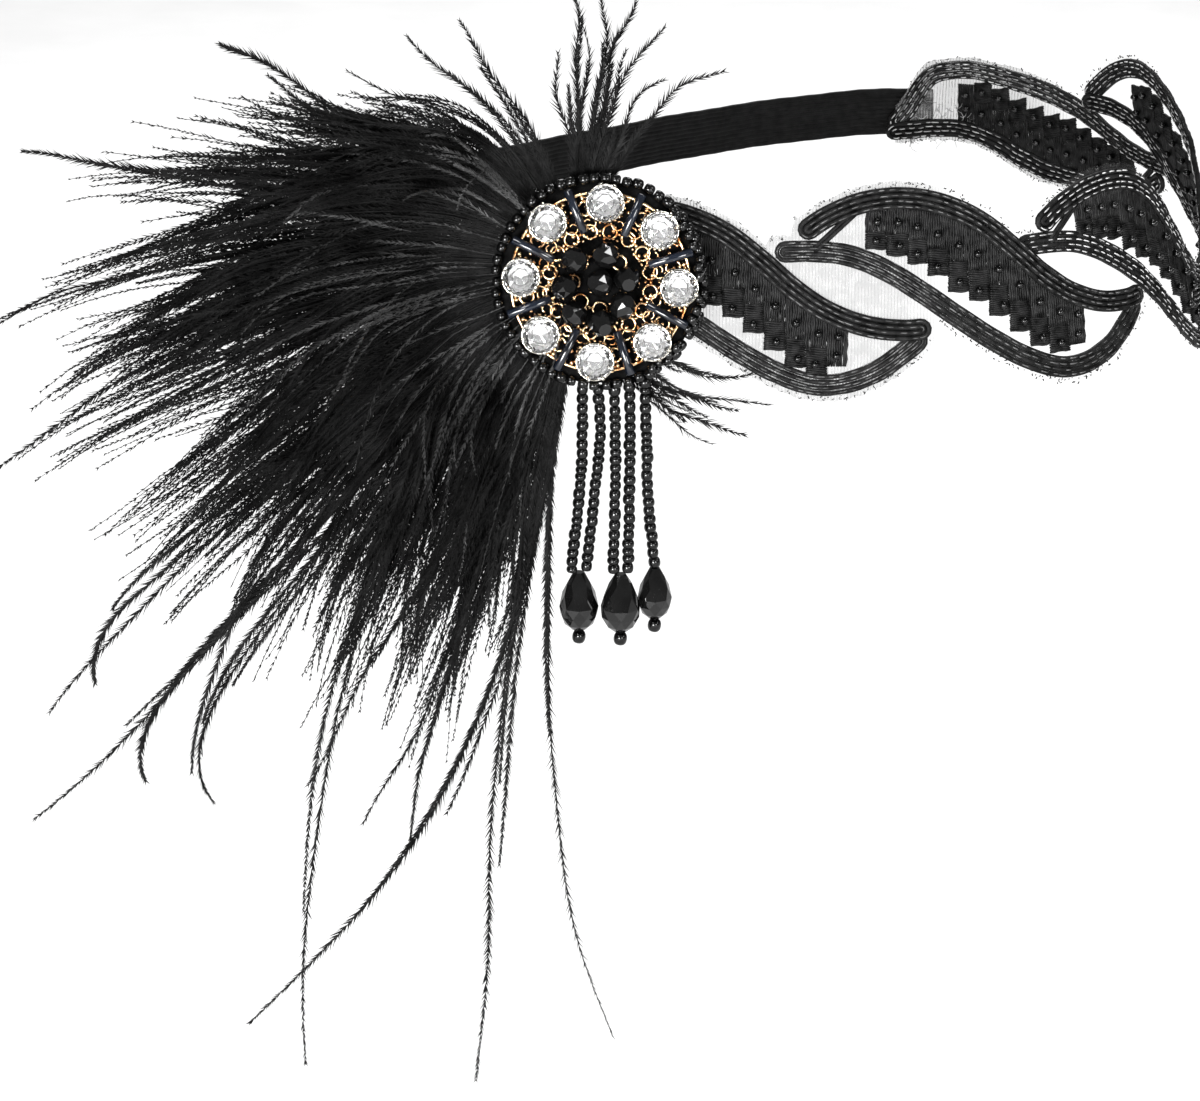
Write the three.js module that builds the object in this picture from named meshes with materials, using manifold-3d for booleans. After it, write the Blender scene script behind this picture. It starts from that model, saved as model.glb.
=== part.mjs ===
// A flapper headband. Corded leaf lace and a ribbed elastic close a round loop for the head.
// A beaded medallion sits on the near side, with an ostrich plume behind it and five bead strands under it.
// Millimetres, +Z up. The front faces -Y. The origin is the middle of the loop at half the lace's height.

import * as THREE from 'three';
import { mergeVertices } from 'three/addons/utils/BufferGeometryUtils.js';
import Module from 'manifold-3d';

const wasm = await Module();
wasm.setup();

// Clearances and the overlap of joined pieces
const gap = 0.3;
const bite = 0.4;

// Loop for the head, seen from above: two arcs and the two straight runs that touch both
const rightRadius = 75;
const leftRadius = 42;
const straightRun = 96.5;
const wallLean = THREE.MathUtils.degToRad(12);
const loopSway = 9;

// Lace: leaves of bundled cord with satin columns inside
const leafLength = 89;
const leafReach = 20.5;
const bundleWidth = 5;
const bundleThick = 2;
const lowerThinner = 0.1;
const columnThick = 1.3;
const columnThinner = 0.15;
const columnPitch = 4.75;
const lastColumn = 23.5;
const strutWidth = 1.4;
const endGather = 7;
const gathers = { upperFrom: 0.6, lowerFrom: 0.85, to: 0.95 };
const bundleEndShare = 0.6;

// Elastic
const elasticWidth = 13;
const elasticThick = 1.2;
const elasticLap = 14;
const elasticRise = 5.5;
const elasticSwap = { from: 0.25, to: 0.9 };

// Medallion
const medallionDiameter = 49;
const medallionFromCorner = 26;
const medallionRise = 2.4;
const edgeBead = 2.3;
const feltThick = 2;
const plateMargin = 1.7;
const plateThick = 0.8;
const pierceWidth = 2.8;
const stoneCount = 8;
const stoneDiameter = 8.7;
const stoneHeight = 4;
const stoneTurn = THREE.MathUtils.degToRad(-3.7);
const bugleDiameter = 2;
const jetDiameter = 5.8;

// Strands and drops
const strandDiameter = 2.8;
const strandLength = 43.5;
const dropDiameter = 9.2;
const dropLength = 14;
const endBeadDiameter = 3.2;

// Plume
const plumeReach = 200;
const plumeDepth = 46;
const plumePad = 22;
const plumePadThick = 3;
const plumeRootAcross = -5;
const plumeRootRise = 4;
const lockWidth = 17;
const lockFlatness = 0.84;
const lockRoot = 0.3;
const lockTip = 0.08;
const fullShares = { from: 0.4, to: 0.45 };
const lockStart = 0.05;
const wispWidth = 3;
const swellReach = 18;
const padSlack = 0.8;

// Steps and sides of the curved forms
const bundleStep = 9;
const elasticSteps = 40;
const roundSides = 40;
const padSides = 24;
const strandSides = 8;
const strandSteps = 8;
const wayStep = 0.01;

// Leaves round the loop: start and length in shares of leafLength, reach and lift off the lace's middle in
// shares of leafReach, and the side of the middle that the upper bundle bows to
const leaves = [
  { start: -0.20, length: 1.07, reach: 0.98, lift: -0.09, side: 1 },
  { start: 0.485, length: 1.015, reach: 1.00, lift: 0, side: 1 },
  { start: 1.12, length: 0.97, reach: 0.97, lift: 0.02, side: 1 },
  { start: 1.785, length: 1.00, reach: 0.94, lift: -0.02, side: -1 },
  { start: 2.42, length: 0.99, reach: 0.87, lift: 0.07, side: -1 },
];

// Centrelines of a leaf's two bundles: along in shares of the leaf's length, rise in shares of its reach
const upperBundle = [
  { along: 0.02, rise: 0.60 }, { along: 0.09, rise: 0.81 }, { along: 0.18, rise: 0.97 },
  { along: 0.28, rise: 1.02 }, { along: 0.38, rise: 0.95 }, { along: 0.48, rise: 0.75 },
  { along: 0.57, rise: 0.43 }, { along: 0.65, rise: 0.10 }, { along: 0.73, rise: -0.15 },
  { along: 0.82, rise: -0.31 }, { along: 0.91, rise: -0.36 }, { along: 0.98, rise: -0.33 },
];
const lowerBundle = [
  { along: -0.045, rise: 0.42 }, { along: 0.06, rise: 0.43 }, { along: 0.15, rise: 0.38 },
  { along: 0.24, rise: 0.22 }, { along: 0.33, rise: -0.02 }, { along: 0.42, rise: -0.30 },
  { along: 0.51, rise: -0.58 }, { along: 0.60, rise: -0.82 }, { along: 0.69, rise: -0.97 },
  { along: 0.77, rise: -0.96 }, { along: 0.85, rise: -0.82 }, { along: 0.92, rise: -0.58 },
  { along: 0.965, rise: -0.38 },
];

// Ends of the short strut between the bundles' near ends, in like columns
const strut = [{ along: 0.06, rise: 0.45 }, { along: 0.17, rise: 0.90 }];

// Rings of holes through the filigree plate: circle in shares of its radius, shift in shares of a step
const pierceRings = [
  { circle: 0.30, count: 8, shift: 0 }, { circle: 0.56, count: 16, shift: 0.5 },
  { circle: 0.82, count: 16, shift: 0.5 },
];

// A stone in its setting: radius in shares of the stone's, level in shares of its height
const stoneProfile = [
  { radius: 0, level: 0 }, { radius: 0.72, level: 0 }, { radius: 1, level: 0.45 },
  { radius: 0.97, level: 0.6 }, { radius: 0.86, level: 0.6 }, { radius: 0.5, level: 1 },
  { radius: 0, level: 1 },
];

// A faceted bead, cut flat at both poles, and a drop: radius in shares of the diameter, level in shares
// of the length from the middle
const beadProfile = [
  { radius: 0, level: -0.5 }, { radius: 0.25, level: -0.5 }, { radius: 0.44, level: -0.26 },
  { radius: 0.5, level: 0 }, { radius: 0.44, level: 0.26 }, { radius: 0.25, level: 0.5 },
  { radius: 0, level: 0.5 },
];
const dropProfile = [
  { radius: 0, level: -0.5 }, { radius: 0.22, level: -0.5 }, { radius: 0.42, level: -0.34 },
  { radius: 0.5, level: -0.14 }, { radius: 0.45, level: 0.08 }, { radius: 0.3, level: 0.32 },
  { radius: 0.14, level: 0.5 }, { radius: 0, level: 0.5 },
];

// Height of the lace's middle round the right arc: turn in degrees from the near run, rise in shares of
// the sway
const laceSway = [
  { turn: 0, rise: 0 }, { turn: 45, rise: 0 }, { turn: 72, rise: -0.75 }, { turn: 96, rise: 1 },
  { turn: 131, rise: 0.9 }, { turn: 158, rise: 0 }, { turn: 360, rise: 0 },
];

// Drops of the satin columns below the upper bundle, in shares of the leaf's reach
const columnDrops = [0.42, 0.50, 0.57, 0.68, 0.76, 0.76, 0.76, 0.76, 0.75, 0.66, 0.44];

// Small jet beads round the middle of the medallion: turn in degrees, circle in shares of the jet's diameter
const jetPlaces = [
  { turn: 0, circle: 0 }, { turn: 138, circle: 1.32 }, { turn: 78, circle: 1.10 },
  { turn: 8, circle: 1.06 }, { turn: -46, circle: 1.25 }, { turn: -89, circle: 1.55 },
  { turn: -131, circle: 1.55 }, { turn: 187, circle: 1.38 },
];

// Heights of the elastic above the lace's middle: along in shares of its way, rise in shares of its own rise
const elasticSway = [
  { along: 0, rise: 1 }, { along: 0.2, rise: 0.5 }, { along: 0.6, rise: 0.6 }, { along: 0.95, rise: 0 },
  { along: 1, rise: 0 },
];

// Routes of the bead strands from the medallion's lower edge: across in shares of a drop's diameter, down in
// shares of a strand's length, ahead in mm towards the front at the lower end, and the drop that each ends in
const strandRoutes = [
  { drop: 0, ahead: 0, points: [{ across: -0.42, down: 0 }, { across: -0.44, down: 0.3 },
    { across: -0.50, down: 0.55 }, { across: -0.62, down: 0.8 }, { across: -0.71, down: 1 }] },
  { drop: 0, ahead: 0, points: [{ across: -0.06, down: 0 }, { across: 0.01, down: 0.22 },
    { across: -0.10, down: 0.5 }, { across: -0.24, down: 0.8 }, { across: -0.35, down: 1 }] },
  { drop: 1, ahead: 1.2, points: [{ across: 0.36, down: 0 }, { across: 0.38, down: 0.3 },
    { across: 0.37, down: 0.65 }, { across: 0.33, down: 1 }] },
  { drop: 1, ahead: 1.2, points: [{ across: 0.73, down: 0 }, { across: 0.74, down: 0.3 },
    { across: 0.72, down: 0.65 }, { across: 0.69, down: 1 }] },
  { drop: 2, ahead: -3, points: [{ across: 1.10, down: 0 }, { across: 1.16, down: 0.3 },
    { across: 1.19, down: 0.6 }, { across: 1.37, down: 1 }] },
];
const dropSizes = [1, 1, 0.88];

// Locks of the plume. Angles in degrees round the root, anticlockwise from +X as seen from the front; tip and
// bow in shares of the plume's reach, lift in shares of its depth, width in shares of a full lock's
const plumeLocks = [
  { tipAngle: 140, tip: 0.34, bowAngle: 125, bow: 0.20, lift: 0.20, width: 0.6 },
  { tipAngle: 154, tip: 0.48, bowAngle: 132, bow: 0.18, lift: 0.35, width: 0.8 },
  { tipAngle: 165, tip: 0.55, bowAngle: 143, bow: 0.22, lift: 0.50, width: 0.9 },
  { tipAngle: 171, tip: 0.60, bowAngle: 153, bow: 0.28, lift: 0.25, width: 1.0 },
  { tipAngle: 178, tip: 0.61, bowAngle: 166, bow: 0.28, lift: 0.60, width: 0.9 },
  { tipAngle: 183, tip: 0.58, bowAngle: 171, bow: 0.27, lift: 0.85, width: 1.0 },
  { tipAngle: 191, tip: 0.58, bowAngle: 178, bow: 0.30, lift: 0.45, width: 1.0 },
  { tipAngle: 198, tip: 0.63, bowAngle: 184, bow: 0.26, lift: 0.65, width: 1.2 },
  { tipAngle: 204, tip: 0.59, bowAngle: 188, bow: 0.22, lift: 0.95, width: 1.1 },
  { tipAngle: 212, tip: 0.56, bowAngle: 203, bow: 0.23, lift: 0.55, width: 1.1 },
  { tipAngle: 220, tip: 0.53, bowAngle: 207, bow: 0.22, lift: 1.00, width: 1.1 },
  { tipAngle: 230, tip: 0.53, bowAngle: 214, bow: 0.21, lift: 0.70, width: 1.0 },
  { tipAngle: 240, tip: 0.55, bowAngle: 225, bow: 0.21, lift: 0.45, width: 0.9 },
  { tipAngle: 243, tip: 0.46, bowAngle: 237, bow: 0.22, lift: 0.80, width: 0.9 },
  { tipAngle: 251, tip: 0.60, bowAngle: 244, bow: 0.18, lift: 0.30, width: 0.7 },
  { tipAngle: 257, tip: 0.46, bowAngle: 256, bow: 0.23, lift: 0.10, width: 0.6 },
];

// Long wisps past the locks, in like columns; start is the share of the way where a wisp leaves its lock
const plumeWisps = [
  { tipAngle: 326, tip: 0.26, bowAngle: 290, bow: 0.18, lift: 0.00, start: 0 },
  { tipAngle: 84, tip: 0.30, bowAngle: 80, bow: 0.21, lift: 0.05, start: 0 },
  { tipAngle: 115, tip: 0.31, bowAngle: 110, bow: 0.18, lift: 0.10, start: 0 },
  { tipAngle: 145, tip: 0.47, bowAngle: 147, bow: 0.43, lift: 0.25, start: 0.2 },
  { tipAngle: 165, tip: 0.63, bowAngle: 163, bow: 0.45, lift: 0.45, start: 0.3 },
  { tipAngle: 183, tip: 0.64, bowAngle: 171, bow: 0.47, lift: 0.60, start: 0.3 },
  { tipAngle: 195, tip: 0.67, bowAngle: 183, bow: 0.41, lift: 0.60, start: 0.3 },
  { tipAngle: 219, tip: 0.76, bowAngle: 209, bow: 0.46, lift: 0.60, start: 0.35 },
  { tipAngle: 224, tip: 0.87, bowAngle: 228, bow: 0.49, lift: 0.50, start: 0.2 },
  { tipAngle: 251, tip: 0.99, bowAngle: 229, bow: 0.54, lift: 0.40, start: 0.25 },
  { tipAngle: 247, tip: 0.99, bowAngle: 266, bow: 0.60, lift: 0.20, start: 0.2 },
  { tipAngle: 263, tip: 1.00, bowAngle: 258, bow: 0.53, lift: 0.12, start: 0.2 },
  { tipAngle: 272, tip: 0.95, bowAngle: 260, bow: 0.51, lift: 0.06, start: 0.2 },
];

// Colours and finishes
const cordFinish = new THREE.MeshStandardMaterial({ color: 0x15151a, roughness: 0.75, metalness: 0 });
const elasticFinish = new THREE.MeshStandardMaterial({ color: 0x0d0d0f, roughness: 0.85, metalness: 0 });
const feltFinish = new THREE.MeshStandardMaterial({ color: 0x101010, roughness: 0.95, metalness: 0 });
const goldFinish = new THREE.MeshStandardMaterial({ color: 0xc89a5b, roughness: 0.3, metalness: 1 });
const stoneFinish = new THREE.MeshStandardMaterial({ color: 0xe6e8ec, roughness: 0.05, metalness: 0.3 });
const glassFinish = new THREE.MeshStandardMaterial({ color: 0x08080a, roughness: 0.08, metalness: 0 });
const bugleFinish = new THREE.MeshStandardMaterial({ color: 0x1c1f28, roughness: 0.12, metalness: 0.2 });
const featherFinish = new THREE.MeshStandardMaterial({ color: 0x0a0a0b, roughness: 0.9, metalness: 0 });

// A merged copy of a closed geometry, as a solid for joining and cutting
function toSolid(geometry) {
  const plain = geometry.clone();
  plain.deleteAttribute('normal');
  plain.deleteAttribute('uv');
  const merged = mergeVertices(plain, 1e-4);
  return new wasm.Manifold(new wasm.Mesh({
    numProp: 3,
    vertProperties: new Float32Array(merged.attributes.position.array),
    triVerts: new Uint32Array(merged.index.array),
  }));
}

function fromSolid(solid) {
  const mesh = solid.getMesh();
  const geometry = new THREE.BufferGeometry();
  geometry.setAttribute('position', new THREE.BufferAttribute(new Float32Array(mesh.vertProperties), 3));
  geometry.setIndex(new THREE.BufferAttribute(new Uint32Array(mesh.triVerts), 1));
  geometry.computeVertexNormals();
  return geometry;
}

function joinAll(geometries) {
  return geometries.map(toSolid).reduce((whole, piece) => whole.add(piece));
}

// A closed skin over a row of rings with as many points each, anticlockwise as seen when looking along
// the row
function loft(rings) {
  const sides = rings[0].length;
  const points = rings.flat();
  const faces = [];
  for (let ring = 0; ring + 1 < rings.length; ring += 1) {
    for (let side = 0; side < sides; side += 1) {
      const a = ring * sides + side;
      const b = ring * sides + (side + 1) % sides;
      faces.push(a, b + sides, b, a, a + sides, b + sides);
    }
  }
  const last = (rings.length - 1) * sides;
  for (let side = 1; side + 1 < sides; side += 1) {
    faces.push(0, side, side + 1, last, last + side + 1, last + side);
  }
  const geometry = new THREE.BufferGeometry().setFromPoints(points);
  geometry.setIndex(faces);
  geometry.computeVertexNormals();
  return geometry;
}

// Loop: the medallion's middle is at along = 0, and along grows past the lace to the right
const corner = -medallionFromCorner;
const leftCentre = new THREE.Vector2(corner, leftRadius);
const rightCentre = new THREE.Vector2(corner + straightRun, rightRadius);
const farTurn = 2 * Math.atan2(rightRadius - leftRadius, straightRun);
const rightArc = Math.PI + farTurn;
const rightArcLength = rightRadius * rightArc;
const leftArcLength = leftRadius * (2 * Math.PI - rightArc);
const loopLength = 2 * straightRun + rightArcLength + leftArcLength;
const seat = new THREE.Vector2(
  (leftCentre.x - leftRadius + rightCentre.x + rightRadius) / 2,
  Math.max(leftRadius, rightRadius),
);

// The place and the outward direction at a way along the loop, from the seat at the middle
function loopPlace(along) {
  const run = THREE.MathUtils.euclideanModulo(along - corner, loopLength);
  let turn = 0;
  let centre = rightCentre;
  let radius = rightRadius;
  let slide = 0;
  if (run < straightRun) {
    slide = run - straightRun;
  } else if (run < straightRun + rightArcLength) {
    turn = (run - straightRun) / rightRadius;
  } else if (run < 2 * straightRun + rightArcLength) {
    turn = rightArc;
    slide = run - straightRun - rightArcLength;
  } else {
    turn = rightArc + (run - 2 * straightRun - rightArcLength) / leftRadius;
    centre = leftCentre;
    radius = leftRadius;
  }
  const outward = new THREE.Vector2(Math.sin(turn), -Math.cos(turn));
  const forward = new THREE.Vector2(Math.cos(turn), Math.sin(turn));
  const point = centre.clone().addScaledVector(outward, radius).addScaledVector(forward, slide).sub(seat);
  return { point, outward };
}

// The value of one column of a table at a way between its rows, eased from row to row
function fromTable(table, key, at, column) {
  const last = table.length - 1;
  const next = Math.min(last, Math.max(1, table.findIndex((row) => row[key] >= at)));
  const before = table[next - 1];
  const share = THREE.MathUtils.smoothstep(at, before[key], table[next][key]);
  return THREE.MathUtils.lerp(before[column], table[next][column], share);
}

function swayAt(along) {
  const turn = THREE.MathUtils.radToDeg((along - rightCentre.x) / rightRadius);
  return loopSway * fromTable(laceSway, 'turn', THREE.MathUtils.clamp(turn, 0, 360), 'rise');
}

// A point of the leaning wall: along the loop, up the wall's slope and out from its middle
function wallPoint(along, rise, out) {
  const { point, outward } = loopPlace(along);
  const spread = out * Math.cos(wallLean) - rise * Math.sin(wallLean);
  return new THREE.Vector3(
    point.x + outward.x * spread,
    point.y + outward.y * spread,
    swayAt(along) + rise * Math.cos(wallLean) + out * Math.sin(wallLean),
  );
}

function wrapOnWall(geometry) {
  const position = geometry.attributes.position;
  for (let index = 0; index < position.count; index += 1) {
    const point = wallPoint(position.getX(index), position.getY(index), position.getZ(index));
    position.setXYZ(index, point.x, point.y, point.z);
  }
  geometry.computeVertexNormals();
  return geometry;
}

// Lace, drawn flat and then wrapped on the wall
function leafPoint({ start, length, reach, lift, side }, { along, rise }) {
  const across = side * rise * reach + lift;
  return new THREE.Vector3((start + along * length) * leafLength, across * leafReach, 0);
}

// A bundle's centreline on the flat; the last leaf's bundles gather towards the elastic
function bundleCurve(leaf, table, gatherFrom) {
  const gather = leaf === leaves.at(-1) ? endGather : 0;
  return new THREE.CatmullRomCurve3(table.map((row) => {
    const sink = gather * THREE.MathUtils.smoothstep(row.along, gatherFrom, gathers.to);
    return leafPoint(leaf, row).sub(new THREE.Vector3(0, sink, 0));
  }));
}

// A domed strip of cords along a flat curve, narrowed to a round end at both ends
function bundleStrip(curve, width, thick) {
  const rings = [];
  const length = curve.getLength();
  const steps = Math.ceil(length / bundleStep);
  for (let step = 0; step <= steps; step += 1) {
    const share = step / steps;
    const centre = curve.getPointAt(share);
    const across = curve.getTangentAt(share);
    const nearEnd = Math.min(share, 1 - share) * length;
    const half = width / 2 * (nearEnd < width / 4 ? bundleEndShare : 1);
    const left = new THREE.Vector3(-across.y, across.x, 0).multiplyScalar(half);
    rings.push([
      centre.clone().add(left).setZ(-thick / 2),
      centre.clone().sub(left).setZ(-thick / 2),
      centre.clone().sub(left).setZ(thick / 4),
      centre.clone().setZ(thick / 2),
      centre.clone().add(left).setZ(thick / 4),
    ]);
  }
  return loft(rings);
}

function riseAt(table, along) {
  const next = table.findIndex((row) => row.along >= along);
  const a = table[next - 1];
  const b = table[next];
  return THREE.MathUtils.mapLinear(along, a.along, b.along, a.rise, b.rise);
}

function leafPieces(leaf) {
  const pieces = [
    bundleStrip(bundleCurve(leaf, upperBundle, gathers.upperFrom), bundleWidth, bundleThick),
    bundleStrip(bundleCurve(leaf, lowerBundle, gathers.lowerFrom), bundleWidth, bundleThick - lowerThinner),
    bundleStrip(new THREE.LineCurve3(...strut.map((row) => leafPoint(leaf, row))), strutWidth, columnThick),
  ];
  const length = leaf.length * leafLength;
  columnDrops.forEach((drop, index) => {
    const along = (length - lastColumn - (columnDrops.length - 1 - index) * columnPitch) / length;
    const top = leafPoint(leaf, { along, rise: riseAt(upperBundle, along) });
    const height = bundleWidth / 2 + drop * leaf.reach * leafReach;
    const thick = columnThick - (index % 2 ? 0 : columnThinner);
    const column = new THREE.BoxGeometry(columnPitch + bite, height, thick);
    pieces.push(column.translate(top.x, top.y - leaf.side * height / 2, 0));
  });
  return pieces;
}

function laceBand() {
  return wrapOnWall(fromSolid(joinAll(leaves.flatMap(leafPieces))));
}

// Elastic: outside the lace's far end, round the back and inside its near end
function elasticBand() {
  const laceEnd = (leaves.at(-1).start + leaves.at(-1).length) * leafLength;
  const laceStart = leaves[0].start * leafLength;
  const start = laceEnd - elasticLap;
  const end = loopLength + laceStart + elasticLap;
  const clear = (bundleThick + elasticThick) / 2 + gap;
  const rings = [];
  for (let step = 0; step <= elasticSteps; step += 1) {
    const share = step / elasticSteps;
    const along = THREE.MathUtils.lerp(start, end, share);
    const inward = THREE.MathUtils.smoothstep(share, elasticSwap.from, elasticSwap.to);
    const out = THREE.MathUtils.lerp(clear, -clear, inward);
    const rise = elasticRise * fromTable(elasticSway, 'along', share, 'rise');
    const corners = [[-1, -1], [-1, 1], [1, 1], [1, -1]];
    rings.push(corners.map(([high, deep]) => (
      wallPoint(along, rise + high * elasticWidth / 2, out + deep * elasticThick / 2))));
  }
  return loft(rings);
}

// Medallion: local x to the right, y up its face and z out of it; z = 0 is the lace's middle
const plumeLayer = bundleThick / 2 + gap;
const feltLayer = plumeLayer + plumePadThick + gap;
const plateLayer = feltLayer + feltThick + gap;
const stoneLayer = plateLayer + plateThick + gap;
const edgeCircle = medallionDiameter / 2 - edgeBead / 2;
const feltRadius = edgeCircle - edgeBead / 2 - gap;
const plateRadius = edgeCircle - edgeBead / 2 - plateMargin;
const stoneCircle = edgeCircle - edgeBead / 2 - stoneDiameter / 2;
const bugleOuter = edgeCircle - edgeBead / 2 - gap;
const bugleInner = 2 * jetDiameter;

function disc(radius, thick, sides) {
  return new THREE.CylinderGeometry(radius, radius, thick, sides).rotateX(Math.PI / 2);
}

function onCircle(radius, turn) {
  return new THREE.Vector2(radius * Math.cos(turn), radius * Math.sin(turn));
}

function filigreePlate() {
  let plate = toSolid(disc(plateRadius, plateThick, roundSides));
  pierceRings.forEach(({ circle, count, shift }) => {
    for (let index = 0; index < count; index += 1) {
      const place = onCircle(circle * plateRadius, stoneTurn + 2 * Math.PI * (index + shift) / count);
      const hole = disc(pierceWidth / 2, 2 * plateThick, 6).translate(place.x, place.y, 0);
      plate = plate.subtract(toSolid(hole));
    }
  });
  return fromSolid(plate).translate(0, 0, plateLayer + plateThick / 2);
}

// A turned solid with flat facets: its profile's radii and levels are scaled by across and tall
function turned(profile, across, tall, sides) {
  const points = profile.map(({ radius, level }) => new THREE.Vector2(radius * across, level * tall));
  return new THREE.LatheGeometry(points, sides);
}

// A claw setting with its cut stone, fused: cup, girdle, crown facets and a flat table
function stoneInSetting() {
  return turned(stoneProfile, stoneDiameter / 2, stoneHeight, 12).rotateX(Math.PI / 2);
}

function bugle() {
  return new THREE.CylinderGeometry(bugleDiameter / 2, bugleDiameter / 2, bugleOuter - bugleInner, 10);
}

const group = new THREE.Group();
const medallion = new THREE.Group();
medallion.position.copy(wallPoint(0, medallionRise, 0));
medallion.rotation.x = Math.PI / 2 - wallLean;
group.add(medallion);

function addMesh(parent, name, geometry, material) {
  const mesh = new THREE.Mesh(geometry, material);
  mesh.name = name;
  parent.add(mesh);
  return mesh;
}

function addMedallion() {
  const felt = disc(feltRadius, feltThick, roundSides).translate(0, 0, feltLayer + feltThick / 2);
  addMesh(medallion, 'felt_backing', felt, feltFinish);
  addMesh(medallion, 'filigree_plate', filigreePlate(), goldFinish);
  const edge = new THREE.TorusGeometry(edgeCircle, edgeBead / 2, 8, roundSides);
  addMesh(medallion, 'edge_bead_ring', edge.translate(0, 0, feltLayer + feltThick / 2), glassFinish);
  for (let index = 0; index < stoneCount; index += 1) {
    const turn = stoneTurn + 2 * Math.PI * index / stoneCount;
    const place = onCircle(stoneCircle, turn);
    const stone = addMesh(medallion, `rhinestone_${index + 1}`, stoneInSetting(), stoneFinish);
    stone.position.set(place.x, place.y, stoneLayer);
    stone.rotation.z = turn;
    const between = turn + Math.PI / stoneCount;
    const middle = onCircle((bugleInner + bugleOuter) / 2, between);
    const bead = addMesh(medallion, `bugle_bead_${index + 1}`, bugle(), bugleFinish);
    bead.position.set(middle.x, middle.y, stoneLayer + bugleDiameter / 2);
    bead.rotation.z = between - Math.PI / 2;
  }
  jetPlaces.forEach(({ turn, circle }, index) => {
    const place = onCircle(circle * jetDiameter, THREE.MathUtils.degToRad(turn));
    const jet = turned(beadProfile, jetDiameter, jetDiameter, 8).rotateX(Math.PI / 2);
    const bead = addMesh(medallion, `jet_bead_${index + 1}`, jet, glassFinish);
    bead.position.set(place.x, place.y, stoneLayer + jetDiameter / 2);
  });
}

// Strands hang plumb from the medallion's lower edge
const strandLayer = feltLayer + feltThick / 2;

function underEdge(across, layer) {
  const local = new THREE.Vector3(across, -Math.sqrt((medallionDiameter / 2) ** 2 - across ** 2), layer);
  medallion.updateMatrix();
  return local.applyMatrix4(medallion.matrix);
}

function strandCurve({ ahead, points }) {
  const lowest = underEdge(0, strandLayer);
  return new THREE.CatmullRomCurve3(points.map(({ across, down }) => {
    const aside = across * dropDiameter;
    const innerSide = Math.max(0, Math.abs(aside) - strandDiameter / 2);
    const top = down === 0 ? underEdge(innerSide, strandLayer).z - gap : lowest.z;
    return new THREE.Vector3(lowest.x + aside, lowest.y - ahead * down, top - down * strandLength);
  }));
}

function tube(curve, diameter, sides, steps) {
  const section = new THREE.Shape();
  for (let side = 0; side < sides; side += 1) {
    const place = onCircle(diameter / 2, 2 * Math.PI * side / sides);
    if (side === 0) section.moveTo(place.x, place.y);
    else section.lineTo(place.x, place.y);
  }
  section.closePath();
  return new THREE.ExtrudeGeometry(section, { steps, bevelEnabled: false, extrudePath: curve });
}

function addStrands() {
  const lowest = underEdge(0, strandLayer);
  strandRoutes.forEach((route, index) => {
    const strand = tube(strandCurve(route), strandDiameter, strandSides, strandSteps);
    addMesh(group, `bead_strand_${index + 1}`, strand, glassFinish);
  });
  dropSizes.forEach((size, index) => {
    const routes = strandRoutes.filter((route) => route.drop === index);
    const ends = routes.map(({ points }) => points.at(-1).across);
    const across = ends.reduce((sum, end) => sum + end) / ends.length * dropDiameter;
    const top = lowest.z - strandLength - gap;
    const front = lowest.y - routes[0].ahead;
    const drop = turned(dropProfile, dropDiameter * size, dropLength * size, 10).rotateX(Math.PI / 2);
    const glass = addMesh(group, `glass_drop_${index + 1}`, drop, glassFinish);
    glass.position.set(lowest.x + across, front, top - size * dropLength / 2);
    const round = turned(beadProfile, endBeadDiameter, endBeadDiameter, 10).rotateX(Math.PI / 2);
    const bead = addMesh(group, `end_bead_${index + 1}`, round, glassFinish);
    bead.position.set(lowest.x + across, front, top - size * dropLength - gap - endBeadDiameter / 2);
  });
}

// Plume: locks fanned from a pad behind the medallion. Near the pad they lie flat in its layer, then they
// swell.
const plumeMiddle = plumeLayer + plumePadThick / 2;
const plumeClear = medallionDiameter / 2 + Math.hypot(plumeRootAcross, plumeRootRise);
const wallFoot = wallPoint(0, 0, 0);
const plumeRoot = new THREE.Vector2(
  medallion.position.x + plumeRootAcross,
  medallion.position.z + plumeRootRise,
);

// A point of the plume: a turn and a distance round the root, and how far it stands off its layer
function plumePoint(across, height, out) {
  const tall = THREE.MathUtils.clamp(-height, -medallionDiameter / 2, medallionDiameter / 2);
  const lean = tall * Math.tan(wallLean);
  return new THREE.Vector3(across, wallFoot.y - (plumeMiddle / Math.cos(wallLean) + lean + out), height);
}

function lockCurve({ tipAngle, tip, bowAngle, bow, lift }) {
  const ends = [
    plumeRoot,
    plumeRoot.clone().add(onCircle(bow * plumeReach, THREE.MathUtils.degToRad(bowAngle))),
    plumeRoot.clone().add(onCircle(tip * plumeReach, THREE.MathUtils.degToRad(tipAngle))),
  ];
  const flat = new THREE.QuadraticBezierCurve(...ends);
  return (share) => {
    const place = flat.getPoint(share);
    const past = Math.max(0, place.distanceTo(plumeRoot) - plumeClear) / (tip * plumeReach - plumeClear);
    return plumePoint(place.x, place.y, lift * plumeDepth * Math.min(1, past));
  };
}

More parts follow.
